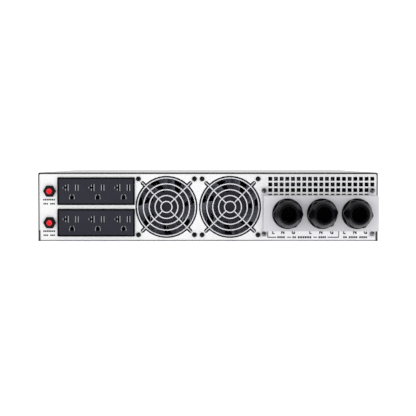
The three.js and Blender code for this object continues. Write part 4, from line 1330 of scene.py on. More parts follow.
# %% Geometry Nodes tree: wire guard
def make_wire_guard():
    tree, start, end = new_tree(
        "GeometryNodeTree",
        "Wire guard",
        [
            ("Shape", GEOMETRY, None),
            ("Centre", VECTOR, (0, 0, 0)),
            ("Rings", INTEGER, 5),
            ("First Ring", FLOAT, 0.007),
            ("Ring Pitch", FLOAT, 0.0075),
            ("Ring Lift", FLOAT, 0.0013),
            ("Wire Radius", FLOAT, 0.0008),
            ("Corner Reach", FLOAT, 0.0505),
            ("Eye Radius", FLOAT, 0.0026),
            ("Finish", MATERIAL, None),
        ],
        [("Shape", GEOMETRY)],
    )
    flat = (math.radians(90), 0, 0)
    index = add(tree, "GeometryNodeInputIndex").outputs[0]
    ring_points = add(tree, "GeometryNodePoints", {"Count": start["Rings"]})
    ring_radius = add(
        tree,
        "ShaderNodeMath",
        {0: index, 1: start["Ring Pitch"], 2: start["First Ring"]},
        operation="MULTIPLY_ADD",
    )
    ring = add(tree, "GeometryNodeCurvePrimitiveCircle", {"Resolution": 72, "Radius": 1.0})
    rings = add(
        tree,
        "GeometryNodeInstanceOnPoints",
        {
            "Points": ring_points.outputs[0],
            "Instance": ring.outputs[0],
            "Rotation": flat,
            "Scale": ring_radius.outputs[0],
        },
    )
    real_rings = add(tree, "GeometryNodeRealizeInstances", {0: rings.outputs[0]})
    lift = add(tree, "ShaderNodeMath", {0: 0.0, 1: start["Ring Lift"]}, operation="SUBTRACT")
    lift_vector = add(tree, "ShaderNodeCombineXYZ", {"Y": lift.outputs[0]})
    lifted = add(
        tree,
        "GeometryNodeTransform",
        {"Geometry": real_rings.outputs[0], "Translation": lift_vector.outputs[0]},
    )

    corner = add(tree, "ShaderNodeCombineXYZ", {"X": start["Corner Reach"]})
    leg_end = add(
        tree, "ShaderNodeMath", {0: start["Corner Reach"], 1: start["Eye Radius"]}, operation="SUBTRACT"
    )
    leg_to = add(tree, "ShaderNodeCombineXYZ", {"X": leg_end.outputs[0]})
    leg_from = add(tree, "ShaderNodeCombineXYZ", {"X": start["First Ring"]})
    leg = add(
        tree, "GeometryNodeCurvePrimitiveLine", {"Start": leg_from.outputs[0], "End": leg_to.outputs[0]}
    )
    eye = add(tree, "GeometryNodeCurvePrimitiveCircle", {"Resolution": 24, "Radius": start["Eye Radius"]})
    eye_placed = add(
        tree,
        "GeometryNodeTransform",
        {"Geometry": eye.outputs[0], "Translation": corner.outputs[0], "Rotation": flat},
    )
    arm = add(tree, "GeometryNodeJoinGeometry")
    tree.links.new(leg.outputs[0], arm.inputs[0])
    tree.links.new(eye_placed.outputs[0], arm.inputs[0])
    arm_points = add(tree, "GeometryNodePoints", {"Count": 4})
    quarter = add(
        tree,
        "ShaderNodeMath",
        {0: index, 1: math.radians(90), 2: math.radians(45)},
        operation="MULTIPLY_ADD",
    )
    arm_turn = add(tree, "ShaderNodeCombineXYZ", {"Y": quarter.outputs[0]})
    arms = add(
        tree,
        "GeometryNodeInstanceOnPoints",
        {"Points": arm_points.outputs[0], "Instance": arm.outputs[0], "Rotation": arm_turn.outputs[0]},
    )
    real_arms = add(tree, "GeometryNodeRealizeInstances", {0: arms.outputs[0]})
    wires = add(tree, "GeometryNodeJoinGeometry")
    tree.links.new(lifted.outputs[0], wires.inputs[0])
    tree.links.new(real_arms.outputs[0], wires.inputs[0])
    section = add(
        tree, "GeometryNodeCurvePrimitiveCircle", {"Resolution": 12, "Radius": start["Wire Radius"]}
    )
    wire_mesh = add(
        tree,
        "GeometryNodeCurveToMesh",
        {"Curve": wires.outputs[0], "Profile Curve": section.outputs[0], "Fill Caps": True},
    )
    placed = add(
        tree, "GeometryNodeTransform", {"Geometry": wire_mesh.outputs[0], "Translation": start["Centre"]}
    )
    real = add(tree, "GeometryNodeRealizeInstances", {0: placed.outputs[0]})
    coloured = add(
        tree, "GeometryNodeSetMaterial", {"Geometry": real.outputs[0], "Material": start["Finish"]}
    )
    tree.links.new(coloured.outputs[0], end["Shape"])
    return tree


wire_guard = make_wire_guard()
print("tree:", wire_guard.name)

# %% Wire guards
fan_screw_reach = 35.75 * mm * math.sqrt(2)
for number in (1, 2):
    node = f"fan_guard_{number}"
    low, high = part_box(node)
    centre = (low + high) / 2
    wire = 0.8 * mm
    leg_y = high.y - wire
    guard = grown(
        "guard",
        bpy.data.meshes.new("seed"),
        wire_guard,
        {
            "Centre": (centre.x, leg_y, centre.z),
            "Rings": 5,
            "First Ring": 7.1 * mm,
            "Ring Pitch": 7.5 * mm,
            "Ring Lift": leg_y - (low.y + wire),
            "Wire Radius": wire,
            "Corner Reach": fan_screw_reach,
            "Eye Radius": 3.0 * mm,
            "Finish": materials["guard_wire"],
        },
    )
    shape = bmesh.new()
    shape.from_mesh(guard)
    bmesh.ops.recalc_face_normals(shape, faces=shape.faces)
    piece = finished(node + "_wires", shape, "guard_wire", "case", [node], smooth_angle=50)
    spots = [vertex.co for vertex in piece.data.vertices]
    size = [max(spot[i] for spot in spots) - min(spot[i] for spot in spots) for i in range(3)]
    solid_size = [round(s / mm, 2) for s in high - low]
    print(node, "size, mm:", [round(s / mm, 2) for s in size], "solid:", solid_size)

# %% [markdown]
# ## Screws
#
# The fans are held by black pan-head screws and the wiring box by nickel ones, all with a cross recess. The
# head is a turned dome, and the recess is cut from it with two tapered blades. Geometry Nodes then sets one
# screw at each place, turned by a random amount about its own axis, as screws end up when they are driven in.

# %% Geometry Nodes tree: screws at given places
def make_screw_set():
    tree, start, end = new_tree(
        "GeometryNodeTree",
        "Screws at places",
        [
            ("Places", GEOMETRY, None),
            ("Screw", "NodeSocketObject", None),
            ("Axis", VECTOR, (0, 1, 0)),
            ("Seed", INTEGER, 1),
            ("Finish", MATERIAL, None),
        ],
        [("Shape", GEOMETRY)],
    )
    screw = add(tree, "GeometryNodeObjectInfo", {"Object": start["Screw"]})
    turn = add(
        tree,
        "FunctionNodeRandomValue",
        {2: 0.0, 3: math.pi / 2, "Seed": start["Seed"]},
        data_type="FLOAT",
    )
    rotation = add(
        tree, "FunctionNodeAxisAngleToRotation", {"Axis": start["Axis"], "Angle": turn.outputs[1]}
    )
    screws = add(
        tree,
        "GeometryNodeInstanceOnPoints",
        {
            "Points": start["Places"],
            "Instance": screw.outputs["Geometry"],
            "Rotation": rotation.outputs[0],
        },
    )
    real = add(tree, "GeometryNodeRealizeInstances", {0: screws.outputs[0]})
    coloured = add(
        tree, "GeometryNodeSetMaterial", {"Geometry": real.outputs[0], "Material": start["Finish"]}
    )
    tree.links.new(coloured.outputs[0], end["Shape"])
    return tree


screw_set = make_screw_set()
print("tree:", screw_set.name)

# %% Tool: one screw, its head towards -Y with its seat at y 0
def pan_screw(name, head, height, shank, length, dome=0.45):
    """A pan head: straight side, rounded shoulder and a shallow dome, cross recess cut in."""
    side = height * dome
    profile = [(0, -height), (head * 0.35, -height * 0.985), (head * 0.62, -height * 0.92)]
    profile += [(head * 0.84, -height * 0.78), (head * 0.96, -height * 0.56), (head, -side)]
    profile += [(head, -0.12 * height), (head * 0.97, 0), (shank, 0), (shank, length - shank * 0.4)]
    profile += [(shank * 0.6, length), (0, length)]
    shape = spun(profile, steps=28)
    mesh = bpy.data.meshes.new(name)
    shape.to_mesh(mesh)
    shape.free()
    screw = bpy.data.objects.new(name, mesh)
    scene.collection.objects.link(screw)
    cross = bmesh.new()
    half_width, reach, depth = head * 0.11, head * 0.62, height * 0.62
    for turned in (False, True):
        points = [
            (-reach, -height * 1.2, half_width),
            (reach, -height * 1.2, half_width),
            (reach * 0.35, -height + depth, half_width * 0.6),
            (-reach * 0.35, -height + depth, half_width * 0.6),
        ]
        front = [cross.verts.new((z if turned else x, y, x if turned else z)) for x, y, z in points]
        back = [cross.verts.new((-z if turned else x, y, x if turned else -z)) for x, y, z in points]
        cross.faces.new(front)
        cross.faces.new(back[::-1])
        for i in range(4):
            j = (i + 1) % 4
            cross.faces.new([front[i], back[i], back[j], front[j]])
    bmesh.ops.recalc_face_normals(cross, faces=cross.faces)
    cross_mesh = bpy.data.meshes.new(name + "_cross")
    cross.to_mesh(cross_mesh)
    cross.free()
    cutter = bpy.data.objects.new(name + "_cross", cross_mesh)
    scene.collection.objects.link(cutter)
    cut = screw.modifiers.new("recess", "BOOLEAN")
    cut.operation = "DIFFERENCE"
    cut.object = cutter
    cut.solver = "EXACT"
    cut.use_self = True
    bpy.context.view_layer.update()
    done = bpy.data.meshes.new_from_object(screw.evaluated_get(bpy.context.evaluated_depsgraph_get()))
    bpy.data.objects.remove(cutter)
    screw.modifiers.clear()
    screw.data = done
    shape = bmesh.new()
    shape.from_mesh(done)
    edge_wear_and_highlight = edge_layer(shape)
    # The faces of the cross recess are marked for a near-black colour: painted shade in the recess.
    painted_shade = shape.faces.layers.float.new("painted_shade")
    for part in shape.faces:
        spot = part.calc_center_median()
        within = math.hypot(spot.x, spot.z) < reach
        sunk = part.normal.y > -0.85 or spot.y > -height * 0.7
        part[painted_shade] = float(within and sunk and spot.y < 0)
        part[edge_wear_and_highlight] = float(spot.y < -side * 0.8) * (1 - part[painted_shade])
    shape.to_mesh(done)
    shape.free()
    return screw


def set_screws(name, screw, places, axis, finish_name, body, seed, nodes=()):
    base = bpy.data.meshes.new(name + "_places")
    base.from_pydata([tuple(p) for p in places], [], [])
    mesh = grown(
        name,
        base,
        screw_set,
        {"Screw": screw, "Axis": axis, "Seed": seed, "Finish": materials[finish_name]},
    )
    piece = finished(name, mesh, finish_name, body, nodes)
    print(name, "screws:", len(places), "faces:", len(piece.data.polygons))
    return piece


def seat_of(node, head_height):
    low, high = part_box(node)
    return ((low.x + high.x) / 2, low.y + head_height, (low.z + high.z) / 2)


# %% Screws of the fans and of the wiring box
fan_screw_low, fan_screw_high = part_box("fan_screw_1a")
box_screw_low, box_screw_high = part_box("box_screw_a")
fan_head = (fan_screw_high.x - fan_screw_low.x) / 2
box_head = (box_screw_high.x - box_screw_low.x) / 2
fan_head_height = 2.3 * mm
box_head_height = 2.3 * mm
fan_shank = fan_screw_high.y - fan_screw_low.y - fan_head_height
box_shank = box_screw_high.y - box_screw_low.y - box_head_height
fan_screw = pan_screw("fan screw", fan_head, fan_head_height, 1.7 * mm, fan_shank)
box_screw = pan_screw("box screw", box_head, box_head_height, 1.7 * mm, box_shank)
fan_screw_nodes = [f"fan_screw_{n}{k}" for n in (1, 2) for k in "abcd"]
box_screw_nodes = [f"box_screw_{k}" for k in "abcd"]
set_screws(
    "fan_screws",
    fan_screw,
    [seat_of(n, fan_head_height) for n in fan_screw_nodes],
    (0, 1, 0),
    "black_screw",
    "case",
    3,
    fan_screw_nodes,
)
set_screws(
    "box_screws",
    box_screw,
    [seat_of(n, box_head_height) for n in box_screw_nodes],
    (0, 1, 0),
    "nickel_screw",
    "case",
    8,
    box_screw_nodes,
)
bpy.data.objects.remove(fan_screw)
bpy.data.objects.remove(box_screw)

# %% [markdown]
# ### Screws of the cover
#
# The cover is held along both sides by flat black screws that sit almost flush, a row near the top and a row
# near the bottom on each side. Their heads are half a millimetre proud at most, so that the unit still slides
# into a rack, and they keep inside the case's outline.

# %% Cover screws
def flat_screw(name, head, axis_turn):
    screw = pan_screw(name, head, 0.55 * mm, head * 0.5, 1.2 * mm, dome=0.3)
    screw.data.transform(axis_turn)
    return screw


cover_side_y = [-205 * mm, -95 * mm, 15 * mm, 125 * mm]
for side, x in (("left", cover_low.x), ("right", cover_high.x)):
    outward = -1 if side == "left" else 1
    turn = Matrix.Rotation(math.radians(90) * outward, 4, "Z")
    screw = flat_screw("cover screw", 3.0 * mm, turn)
    reach = min(v.co.x * outward for v in screw.data.vertices)
    tip = max(v.co.x * outward for v in screw.data.vertices)
    spots = [(x - outward * tip, y, z) for y in cover_side_y for z in (7.2 * mm, 80 * mm)]
    seed = 11 + outward
    set_screws(f"cover_screws_{side}", screw, spots, (1, 0, 0), "black_screw", "case", seed)
    bpy.data.objects.remove(screw)

# %% [markdown]
# ## Cable glands
#
# Each gland is nylon: a hexagonal body with a round flange against the box, a domed cap that screws over it,
# and a rubber seal that the cap squeezes round the cable. The cap is the hexagon rule again, over a dome. Its
# mouth is open and dark, and the thread of the body shows as fine ridges between the two.

# %% Cable glands
gland_across = 33 * mm
cap_tilts = [math.radians(a) for a in (0, 9, -6)]
for number in (1, 2, 3):
    body_low, body_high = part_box(f"gland_body_{number}")
    cap_low, cap_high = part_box(f"gland_cap_{number}")
    seal_low, seal_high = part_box(f"gland_seal_{number}")
    centre = (cap_low + cap_high) / 2
    spot = (centre.x, 0, centre.z)
    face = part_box("wiring_box")[0].y
    flange_y = face - 3.5 * mm
    hex_y = face - 7 * mm
    flange = 19 * mm
    outer = [(10.6 * mm, body_high.y), (11.3 * mm, body_high.y), (11.3 * mm, face - 0.05 * mm)]
    outer += [(flange, face - 0.05 * mm)] + arc(flange - 0.7 * mm, flange_y + 0.7 * mm, 0.7 * mm, 0, -90)
    flange_piece = spun(outer + [(10.6 * mm, flange_y)], spot, steps=64, closed=True)
    nut = turned_hexagon(
        [
            (18.2 * mm, flange_y + 0.6 * mm),
            (18.6 * mm, hex_y + 0.9 * mm),
            (18.2 * mm, hex_y + 0.35 * mm),
            (17.5 * mm, hex_y),
        ],
        gland_across,
        spot,
        inner=[(10.7 * mm, hex_y), (10.7 * mm, flange_y + 0.6 * mm)],
    )
    nose = [(10.6 * mm, flange_y), (12.4 * mm, hex_y + 0.2 * mm)]
    y = hex_y
    while y > body_low.y + 1.6 * mm:
        nose += [(12.4 * mm, y), (12.95 * mm, y - 0.5 * mm), (12.4 * mm, y - 1.0 * mm)]
        y -= 1.1 * mm
    nose += [(12.2 * mm, body_low.y + 0.3 * mm), (11.9 * mm, body_low.y), (10.6 * mm, body_low.y)]
    thread = spun(nose, spot, steps=48, closed=True)
    for extra in (nut, thread):
        held = bpy.data.meshes.new("held")
        extra.to_mesh(held)
        extra.free()
        flange_piece.from_mesh(held)
        bpy.data.meshes.remove(held)
    node = f"gland_body_{number}"
    finished(node + "_turned", flange_piece, "gland_plastic", "case", [node])

    back, front = cap_high.y, cap_low.y
    hex_end = back - 13 * mm
    lip = 12.2 * mm
    mouth = 9.8 * mm
    dome = [(18.5 * mm, hex_end + 1.2 * mm), (17.6 * mm, hex_end), (16.4 * mm, hex_end - 1.6 * mm)]
    dome += [(15.9 * mm, hex_end - 4 * mm), (15.2 * mm, hex_end - 6.5 * mm), (14.3 * mm, hex_end - 9 * mm)]
    dome += [(13.5 * mm, front + 3 * mm), (12.9 * mm, front + 1.6 * mm), (lip + 0.2 * mm, front + 0.5 * mm)]
    dome += [(lip - 0.2 * mm, front + 0.12 * mm), (lip - 0.7 * mm, front)]
    bore = [(mouth + 0.5 * mm, front), (mouth + 0.12 * mm, front + 0.15 * mm), (mouth, front + 0.6 * mm)]
    bore += [(mouth, front + 4.5 * mm), (13.25 * mm, front + 7 * mm), (13.25 * mm, back)]
    cap = turned_hexagon(
        [(17.8 * mm, back), (18.6 * mm, back - 0.7 * mm)] + dome,
        gland_across,
        spot,
        per_side=12,
        tilt=cap_tilts[number - 1],
        inner=bore,
    )
    node = f"gland_cap_{number}"
    piece = finished(node + "_domed", cap, "gland_plastic", "case", [node], smooth_angle=20)

    y0, y1 = seal_low.y, seal_high.y
    seal_profile = [(9.65 * mm, y0 + 0.8 * mm), (10.2 * mm, y0), (12.4 * mm, y0), (12.5 * mm, y1)]
    seal_profile += [(10.2 * mm, y1), (9.65 * mm, y1 - 0.8 * mm), (10.0 * mm, (y0 + y1) / 2)]
    seal = spun(seal_profile, spot, steps=48, closed=True)
    seal_node = f"gland_seal_{number}"
    finished(f"{seal_node}_ring", seal, "seal_rubber", "case", [seal_node])
print("glands at x", [round(middle(f"gland_cap_{n}").x / mm, 1) for n in (1, 2, 3)])

# %% [markdown]
# ## Terminal strip
#
# Behind the box is a barrier strip with nine ways, where the mains wires are clamped under screws. Barriers
# of plastic stand between the ways. The strip is black plastic, coloured darker still, and its clamp screws
# are coloured black: painted shade for the inside of the closed box. The screws repeat at one pitch, so they
# come from the same tree.

# %% Terminal strip
rounded_copy("terminal_strip", "strip_plastic_and_shade", "case", 0.3 * mm)
strip_low, strip_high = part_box("terminal_strip")
ways = 9
barrier = 1.5 * mm
way_pitch = (strip_high.x - strip_low.x - barrier) / ways
strip_z = (strip_low.z + strip_high.z) / 2
strip_face = strip_low.y + 6 * mm
clamp_screw = pan_screw("clamp screw", 3.4 * mm, 2.2 * mm, 1.8 * mm, 1.5 * mm)
clamp_spots = [
    (strip_low.x + barrier / 2 + way_pitch * (i + 0.5), strip_face - 0.05 * mm, strip_z + row * 5 * mm)
    for i in range(ways)
    for row in (-1, 1)
]
# The clamp screws take the near-black screw finish: painted shade inside the wiring box.
set_screws("clamp_screws", clamp_screw, clamp_spots, (0, 1, 0), "black_screw", "case", 21)
bpy.data.objects.remove(clamp_screw)
print("ways:", ways, "pitch", round(way_pitch / mm, 2), "mm")

# %% [markdown]
# ## Printed marks
#
# The panel is screen-printed: the letters L, N and G for live, neutral and ground under the terminals, with a
# bracket beneath them, and small lines of print by the buttons. Ink stands on the paint by a few hundredths
# of a millimetre. It is made as thin slips, and the letters are a text object turned into a mesh. Where the
# print says a rating or a name, plain bars stand in for the words.

# %% Printed marks
ink_proud = 0.05 * mm
ink = bmesh.new()


def bar_print(x0, x1, z0, z1):
    box_into(ink, (x0 * mm, panel_face - ink_proud, z0 * mm), (x1 * mm, panel_face + 0.01 * mm, z1 * mm))


def letter_print(letter, x, base_z, height):
    curve = bpy.data.curves.new("letter", "FONT")
    curve.body = letter
    curve.size = height / 0.69 * mm
    curve.align_x = "CENTER"
    curve.extrude = ink_proud / 2
    curve.offset = 0.34 * mm
    holder = bpy.data.objects.new("letter", curve)
    scene.collection.objects.link(holder)
    bpy.context.view_layer.update()
    mesh = bpy.data.meshes.new_from_object(holder.evaluated_get(bpy.context.evaluated_depsgraph_get()))
    bpy.data.objects.remove(holder)
    mesh.transform(
        Matrix.Translation((x * mm, panel_face - ink_proud / 2 + 0.01 * mm, base_z * mm))
        @ Matrix.Rotation(math.radians(90), 4, "X")
    )
    ink.from_mesh(mesh)
    bpy.data.meshes.remove(mesh)


lettered = "LNG" * 3
letter_x = [83.5, 95.7, 109.2, 130.9, 144.4, 158.3, 174.3, 187.9, 201.5]
for letter, x in zip(lettered, letter_x):
    letter_print(letter, x, 9.6, 4.0)
bracket_z = 5.2
for x0, x1 in ((76.0, 87.3), (101.1, 106.2), (134.8, 139.5), (153.0, 167.4)):
    bar_print(x0, x1, bracket_z - 0.6, bracket_z + 0.6)
for x in (76.0, 166.8):
    bar_print(x, x + 0.9, bracket_z, bracket_z + 8.5)


def word_print(x0, x1, middle_z, height, signs):
    """A row of small blocks where a word would be."""
    pitch = (x1 - x0) / signs
    for i in range(signs):
        bar_print(x0 + i * pitch, x0 + (i + 0.76) * pitch, middle_z - height / 2, middle_z + height / 2)


for x0, x1, signs in ((88.7, 98.8, 4), (108.1, 113.0, 2), (115.0, 132.8, 6), (141.4, 151.5, 4)):
    word_print(x0, x1, bracket_z, 2.5, signs)
for x0, x1, signs in ((173.1, 178.2, 2), (180.2, 191.5, 5), (193.6, 204.1, 4)):
    word_print(x0, x1, bracket_z, 2.5, signs)
for button in (1, 2):
    button_z = middle(f"reset_button_{button}").z / mm
    word_print(-210.8, -195.2, button_z - 10.9, 2.1, 7)
    word_print(-210.4, -204.2, button_z - 16.1, 2.1, 3)
    word_print(-201.8, -195.4, button_z - 16.1, 2.1, 3)
finished("printed_marks", ink, "print_ink", "case")
print("letters:", len(lettered))

# %% [markdown]
# ## Battery drawer
#
# The batteries stand on their sides in a zinc tray behind the left bezel, taped into two strings of three.
# They are moulded cases with a lid seam, a paper label with no print, and a connector lead's terminal. When
# the drawer slides out, their tops and side faces show.

# %% Batteries
rounded_copy("battery_tray", "zinc_steel", "battery_drawer", 0.3 * mm)
drawer_body = "battery_drawer"
label_shape = bmesh.new()
terminal_shape = bmesh.new()
for number in (1, 2):
    node = f"battery_string_{number}"
    rounded_copy(node, "battery_case", drawer_body, 1.4 * mm, segments=3)
    low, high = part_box(node)
    battery = (high.y - low.y) / 3
    for i in range(3):
        y0 = low.y + i * battery
        box_into(
            label_shape,
            (low.x + 18 * mm, y0 + 14 * mm, high.z - 0.02 * mm),
            (low.x + 96 * mm, y0 + battery - 14 * mm, high.z + 0.12 * mm),
        )
        for dy in (0.3, 0.7):
            box_into(
                terminal_shape,
                (high.x - 22 * mm, y0 + battery * dy - 3.2 * mm, high.z - 0.05 * mm),
                (high.x - 10 * mm, y0 + battery * dy + 3.2 * mm, high.z + 0.9 * mm),
            )
round_edges(terminal_shape, 0.2 * mm, 1)
finished("battery_labels", label_shape, "label_film", drawer_body)
finished("battery_tabs", terminal_shape, "brass_contact", drawer_body)
print("batteries:", 6, "each", round(battery / mm, 1), "mm thick")

# %% [markdown]
# ## Front bezels, display and keys
#
# The two bezels are moulded shells. The left one is louvred and slides out with the drawer; the right one
# carries the display and three keys. The louvres are already in the solid, and a rounded copy gives them soft
# edges. The left one is cut into triangles before it is rounded, because a large face with the louvres and
# the grip cut into it showed a dark wedge once it was rounded in one piece. A sheet of open foam behind the
# louvres keeps dust out. The keys are turned, with a shallow dish and a raised sign, so that a finger can
# tell them apart.

# %% Bezels
rounded_copy(
    "drawer_front", "black_plastic", drawer_body, 0.4 * mm, segments=2, in_triangles=True
)
rounded_copy("control_bezel", "black_plastic", "case", 0.5 * mm, segments=3)
front_low, front_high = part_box("drawer_front")
bezel_wall = 2.4 * mm
foam_back = front_high.y - bezel_wall - 2.6 * mm
foam = bmesh.new()
box_into(
    foam,
    (front_low.x + 4 * mm, foam_back, 20 * mm),
    (front_high.x - 4 * mm, front_high.y - bezel_wall - 0.2 * mm, front_high.z - 4 * mm),
)
round_edges(foam, 0.4 * mm, 2)
finished("dust_filter", foam, "filter_foam", drawer_body)
rounded_copy("display_board", "board_green", "case", 0.15 * mm, segments=1)
rounded_copy("lcd_lens", "smoked_lens", "case", 0.4 * mm, segments=3)

# %% Keys
for name in ("power_key", "scroll_key", "enter_key"):
    low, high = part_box(name)
    centre = (low + high) / 2
    face = high.y
    radius = 5 * mm
    solid_y0 = low.y
    profile = [(0, face - 0.55 * mm), (1.6 * mm, face - 0.5 * mm), (3.0 * mm, face - 0.25 * mm)]
    profile += [(4.0 * mm, face - 0.02 * mm)] + arc(radius - 0.5 * mm, face - 0.5 * mm, 0.5 * mm, 80, 0)
    profile += [(radius, face - 3.6 * mm), (2.5 * mm, face - 4.4 * mm), (2.5 * mm, solid_y0), (0, solid_y0)]
    key = spun(profile, (centre.x, 0, centre.z))
    finished(name + "_dished", key, "black_plastic", name, [name])
    sign = bmesh.new()

    def sign_part(x0, x1, z0, z1):
        low_corner = (centre.x + x0 * mm, face - 0.62 * mm, centre.z + z0 * mm)
        box_into(sign, low_corner, (centre.x + x1 * mm, face - 0.36 * mm, centre.z + z1 * mm))

    if name == "power_key":
        sign_part(-0.25, 0.25, 0.1, 1.9)
        for i in range(20):
            a = math.radians(125 + i * 290 / 19)
            x, z = 1.5 * math.cos(a), 1.5 * math.sin(a)
            sign_part(x - 0.25, x + 0.25, z - 0.25, z + 0.25)
    elif name == "scroll_key":
        for i in range(8):
            half_width = (8 - i) * 0.21
            z = 0.9 - i * 0.28
            sign_part(-half_width, half_width, z, z + 0.3)
    else:
        sign_part(-1.5, 1.4, -0.25, 0.25)
        sign_part(-1.7, -1.2, -0.25, 1.4)
    finished(name + "_sign", sign, "pale_ink", name)
print("keys done")

# %% [markdown]
# ### Display scales and indicator lights
#
# Under the lens, the display shows two scales of five blocks, for the load and the charge, and a row of
# columns between them. Beside the keys sit two small lights. They are thin slips on the lens and the bezel.

# %% Display scales and lights
lens_low, lens_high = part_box("lcd_lens")
segments = bmesh.new()
slip_y = (lens_high.y - 0.02 * mm, lens_high.y + 0.06 * mm)
centre_x = (lens_low.x + lens_high.x) / 2
for side in (-1, 1):
    for i in range(5):
        x = centre_x + side * 24 * mm
        z = lens_low.z + (4 + i * 4.5) * mm
        box_into(segments, (x - 2.6 * mm, slip_y[0], z), (x + 2.6 * mm, slip_y[1], z + 3.2 * mm))
for i in range(9):
    x = centre_x + (i - 4) * 3.9 * mm
    height = (2.5 + 1.4 * (4 - abs(i - 4))) * mm
    z = lens_low.z + 7 * mm
    box_into(segments, (x - 1.1 * mm, slip_y[0], z), (x + 1.1 * mm, slip_y[1], z + height))
finished("display_scales", segments, "display_segment", "case")
lights = bmesh.new()
light_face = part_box("control_bezel")[1].y
for x in (112, 119):
    lamp = spun(
        [(0, light_face + 0.1 * mm), (0.7 * mm, light_face + 0.05 * mm), (1.1 * mm, light_face - 0.15 * mm)]
        + [(1.2 * mm, light_face - 0.6 * mm), (0, light_face - 0.6 * mm)],
        (x * mm, 0, middle("enter_key").z),
        steps=24,
    )
    held = bpy.data.meshes.new("held")
    lamp.to_mesh(held)
    lamp.free()
    lights.from_mesh(held)
    bpy.data.meshes.remove(held)
finished("indicator_lights", lights, "indicator_green", "case")
print("scales and lights done")

# %% [markdown]
# ## Inside the case
#
# Little of the inside shows, only through the vents and the fans, and behind the drawer when it is out. The
# heat sink's fins and the transformer's windings still repeat by a rule, so Geometry Nodes makes them.

# %% Geometry Nodes tree: copies in a row
def make_row():
    tree, start, end = new_tree(
        "GeometryNodeTree",
        "Copies in a row",
        [
            ("Shape", GEOMETRY, None),
            ("Count", INTEGER, 10),
            ("Step", VECTOR, (0.01, 0, 0)),
            ("Finish", MATERIAL, None),
        ],
        [("Shape", GEOMETRY)],
    )
    line = add(
        tree, "GeometryNodeMeshLine", {"Count": start["Count"], "Offset": start["Step"]}, mode="OFFSET"
    )
    copies = add(
        tree, "GeometryNodeInstanceOnPoints", {"Points": line.outputs[0], "Instance": start["Shape"]}
    )
    real = add(tree, "GeometryNodeRealizeInstances", {0: copies.outputs[0]})
    coloured = add(
        tree, "GeometryNodeSetMaterial", {"Geometry": real.outputs[0], "Material": start["Finish"]}
    )
    tree.links.new(coloured.outputs[0], end["Shape"])
    return tree


in_a_row = make_row()
print("tree:", in_a_row.name)

# %% Heat sink
sink_low, sink_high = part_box("heat_sink")
fins = 15
fin = 2 * mm
base = 6 * mm
fin_mesh = bpy.data.meshes.new("fin")
fin_shape = bmesh.new()
fin_low = (sink_low.x, sink_low.y, sink_low.z + base - 0.5 * mm)
box_into(fin_shape, fin_low, (sink_low.x + fin, sink_high.y, sink_high.z))
round_edges(fin_shape, 0.4 * mm, 2)
fin_shape.to_mesh(fin_mesh)
fin_shape.free()
fin_row = grown(
    "fins",
    fin_mesh,
    in_a_row,
    {
        "Count": fins,
        "Step": ((sink_high.x - sink_low.x - fin) / (fins - 1), 0, 0),
        "Finish": materials["aluminium_sink"],
    },
)
sink = bmesh.new()
box_into(sink, sink_low, (sink_high.x, sink_high.y, sink_low.z + base))
round_edges(sink, 0.4 * mm, 2)
sink.from_mesh(fin_row)
finished("heat_sink_finned", sink, "aluminium_sink", "case", ["heat_sink"])
print("fins:", fins)

# %% Transformer windings, board and capacitors
coil_low, coil_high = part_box("transformer_coil")
wire = 1.3 * mm
turns = int((coil_high.z - coil_low.z) / wire) - 1
winding = merged_copy("transformer_coil")
coil_middle = (coil_low + coil_high) / 2
ring = bmesh.new()
corner = 3 * mm
half_x = (coil_high.x - coil_low.x) / 2 - wire / 2
half_y = (coil_high.y - coil_low.y) / 2 - wire / 2
path = []
for sx, sy, start_angle in ((1, 1, 0), (-1, 1, 90), (-1, -1, 180), (1, -1, 270)):
    for i in range(5):
        a = math.radians(start_angle + i * 22.5)
        path.append(
            (sx * (half_x - corner) + corner * math.cos(a), sy * (half_y - corner) + corner * math.sin(a), a)
        )
rows = []
for x, y, a in path:
    row = []
    for k in range(8):
        b = 2 * math.pi * k / 8
        out, up = wire / 2 * math.cos(b), wire / 2 * math.sin(b)
        row.append(
            ring.verts.new(
                (
                    coil_middle.x + x + out * math.cos(a),
                    coil_middle.y + y + out * math.sin(a),
                    coil_low.z + wire + up,
                )
            )
        )
    rows.append(row)
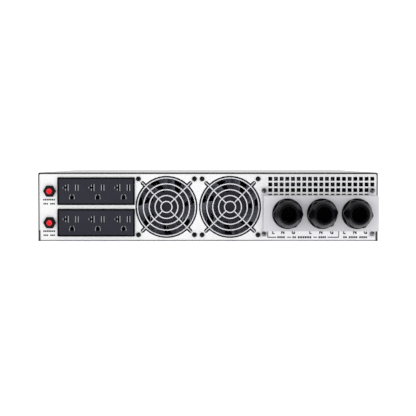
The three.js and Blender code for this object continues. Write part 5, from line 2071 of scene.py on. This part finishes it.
for first, second in zip(rows, rows[1:] + rows[:1]):
    for k in range(8):
        m = (k + 1) % 8
        ring.faces.new([first[k], first[m], second[m], second[k]])
bmesh.ops.recalc_face_normals(ring, faces=ring.faces)
ring_mesh = bpy.data.meshes.new("turn")
ring.to_mesh(ring_mesh)
ring.free()
wound = grown(
    "windings",
    ring_mesh,
    in_a_row,
    {"Count": turns, "Step": (0, 0, wire), "Finish": materials["copper_coil"]},
)
bmesh.ops.scale(
    winding,
    verts=winding.verts,
    vec=(0.97, 0.97, 0.97),
    space=Matrix.Translation(-coil_middle),
)
winding.from_mesh(wound)
finished("transformer_windings", winding, "copper_coil", "case", ["transformer_coil"])
rounded_copy("transformer_core", "core_steel", "case", 0.3 * mm)
rounded_copy("power_board", "board_green", "case", 0.2 * mm, segments=1)
for number in (1, 2):
    node = f"capacitor_{number}"
    low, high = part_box(node)
    centre = (low + high) / 2
    can = spun(
        [(0, 0)] + [((high.x - low.x) / 2 - 0.02 * mm, 0)]
        + arc((high.x - low.x) / 2 - 1.2 * mm, high.z - low.z - 1.0 * mm, 1.0 * mm, 0, 90)
        + [((high.x - low.x) / 2 - 1.8 * mm, high.z - low.z - 0.5 * mm), (0, high.z - low.z - 0.6 * mm)]
    )
    bmesh.ops.rotate(can, verts=can.verts, cent=(0, 0, 0), matrix=Matrix.Rotation(math.radians(90), 3, "X"))
    bmesh.ops.translate(can, verts=can.verts, vec=(centre.x, centre.y, low.z))
    finished(node + "_can", can, "capacitor_sleeve", "case", [node])
print("turns of wire:", turns)

# %% [markdown]
# ## Sizes and finish
#
# Last, the box of the finished pieces is measured against the box of the solids, and both are written down.
# The two should be the same to a few tenths of a millimetre, because nothing here changes the unit's size.

# %% Sizes
own = {material.name for material in materials.values()}
bare = [o.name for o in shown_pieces() if not o.data.materials or o.data.materials[0].name not in own]
print("pieces without a finish of this script:", bare)
visual_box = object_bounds()
for label, box in (("solids", cad_box), ("pieces", visual_box)):
    print(label, [[round(v / mm, 2) for v in c] for c in box])
triangles = sum(len(p.vertices) - 2 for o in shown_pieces() for p in o.data.polygons)
print("triangles:", triangles)
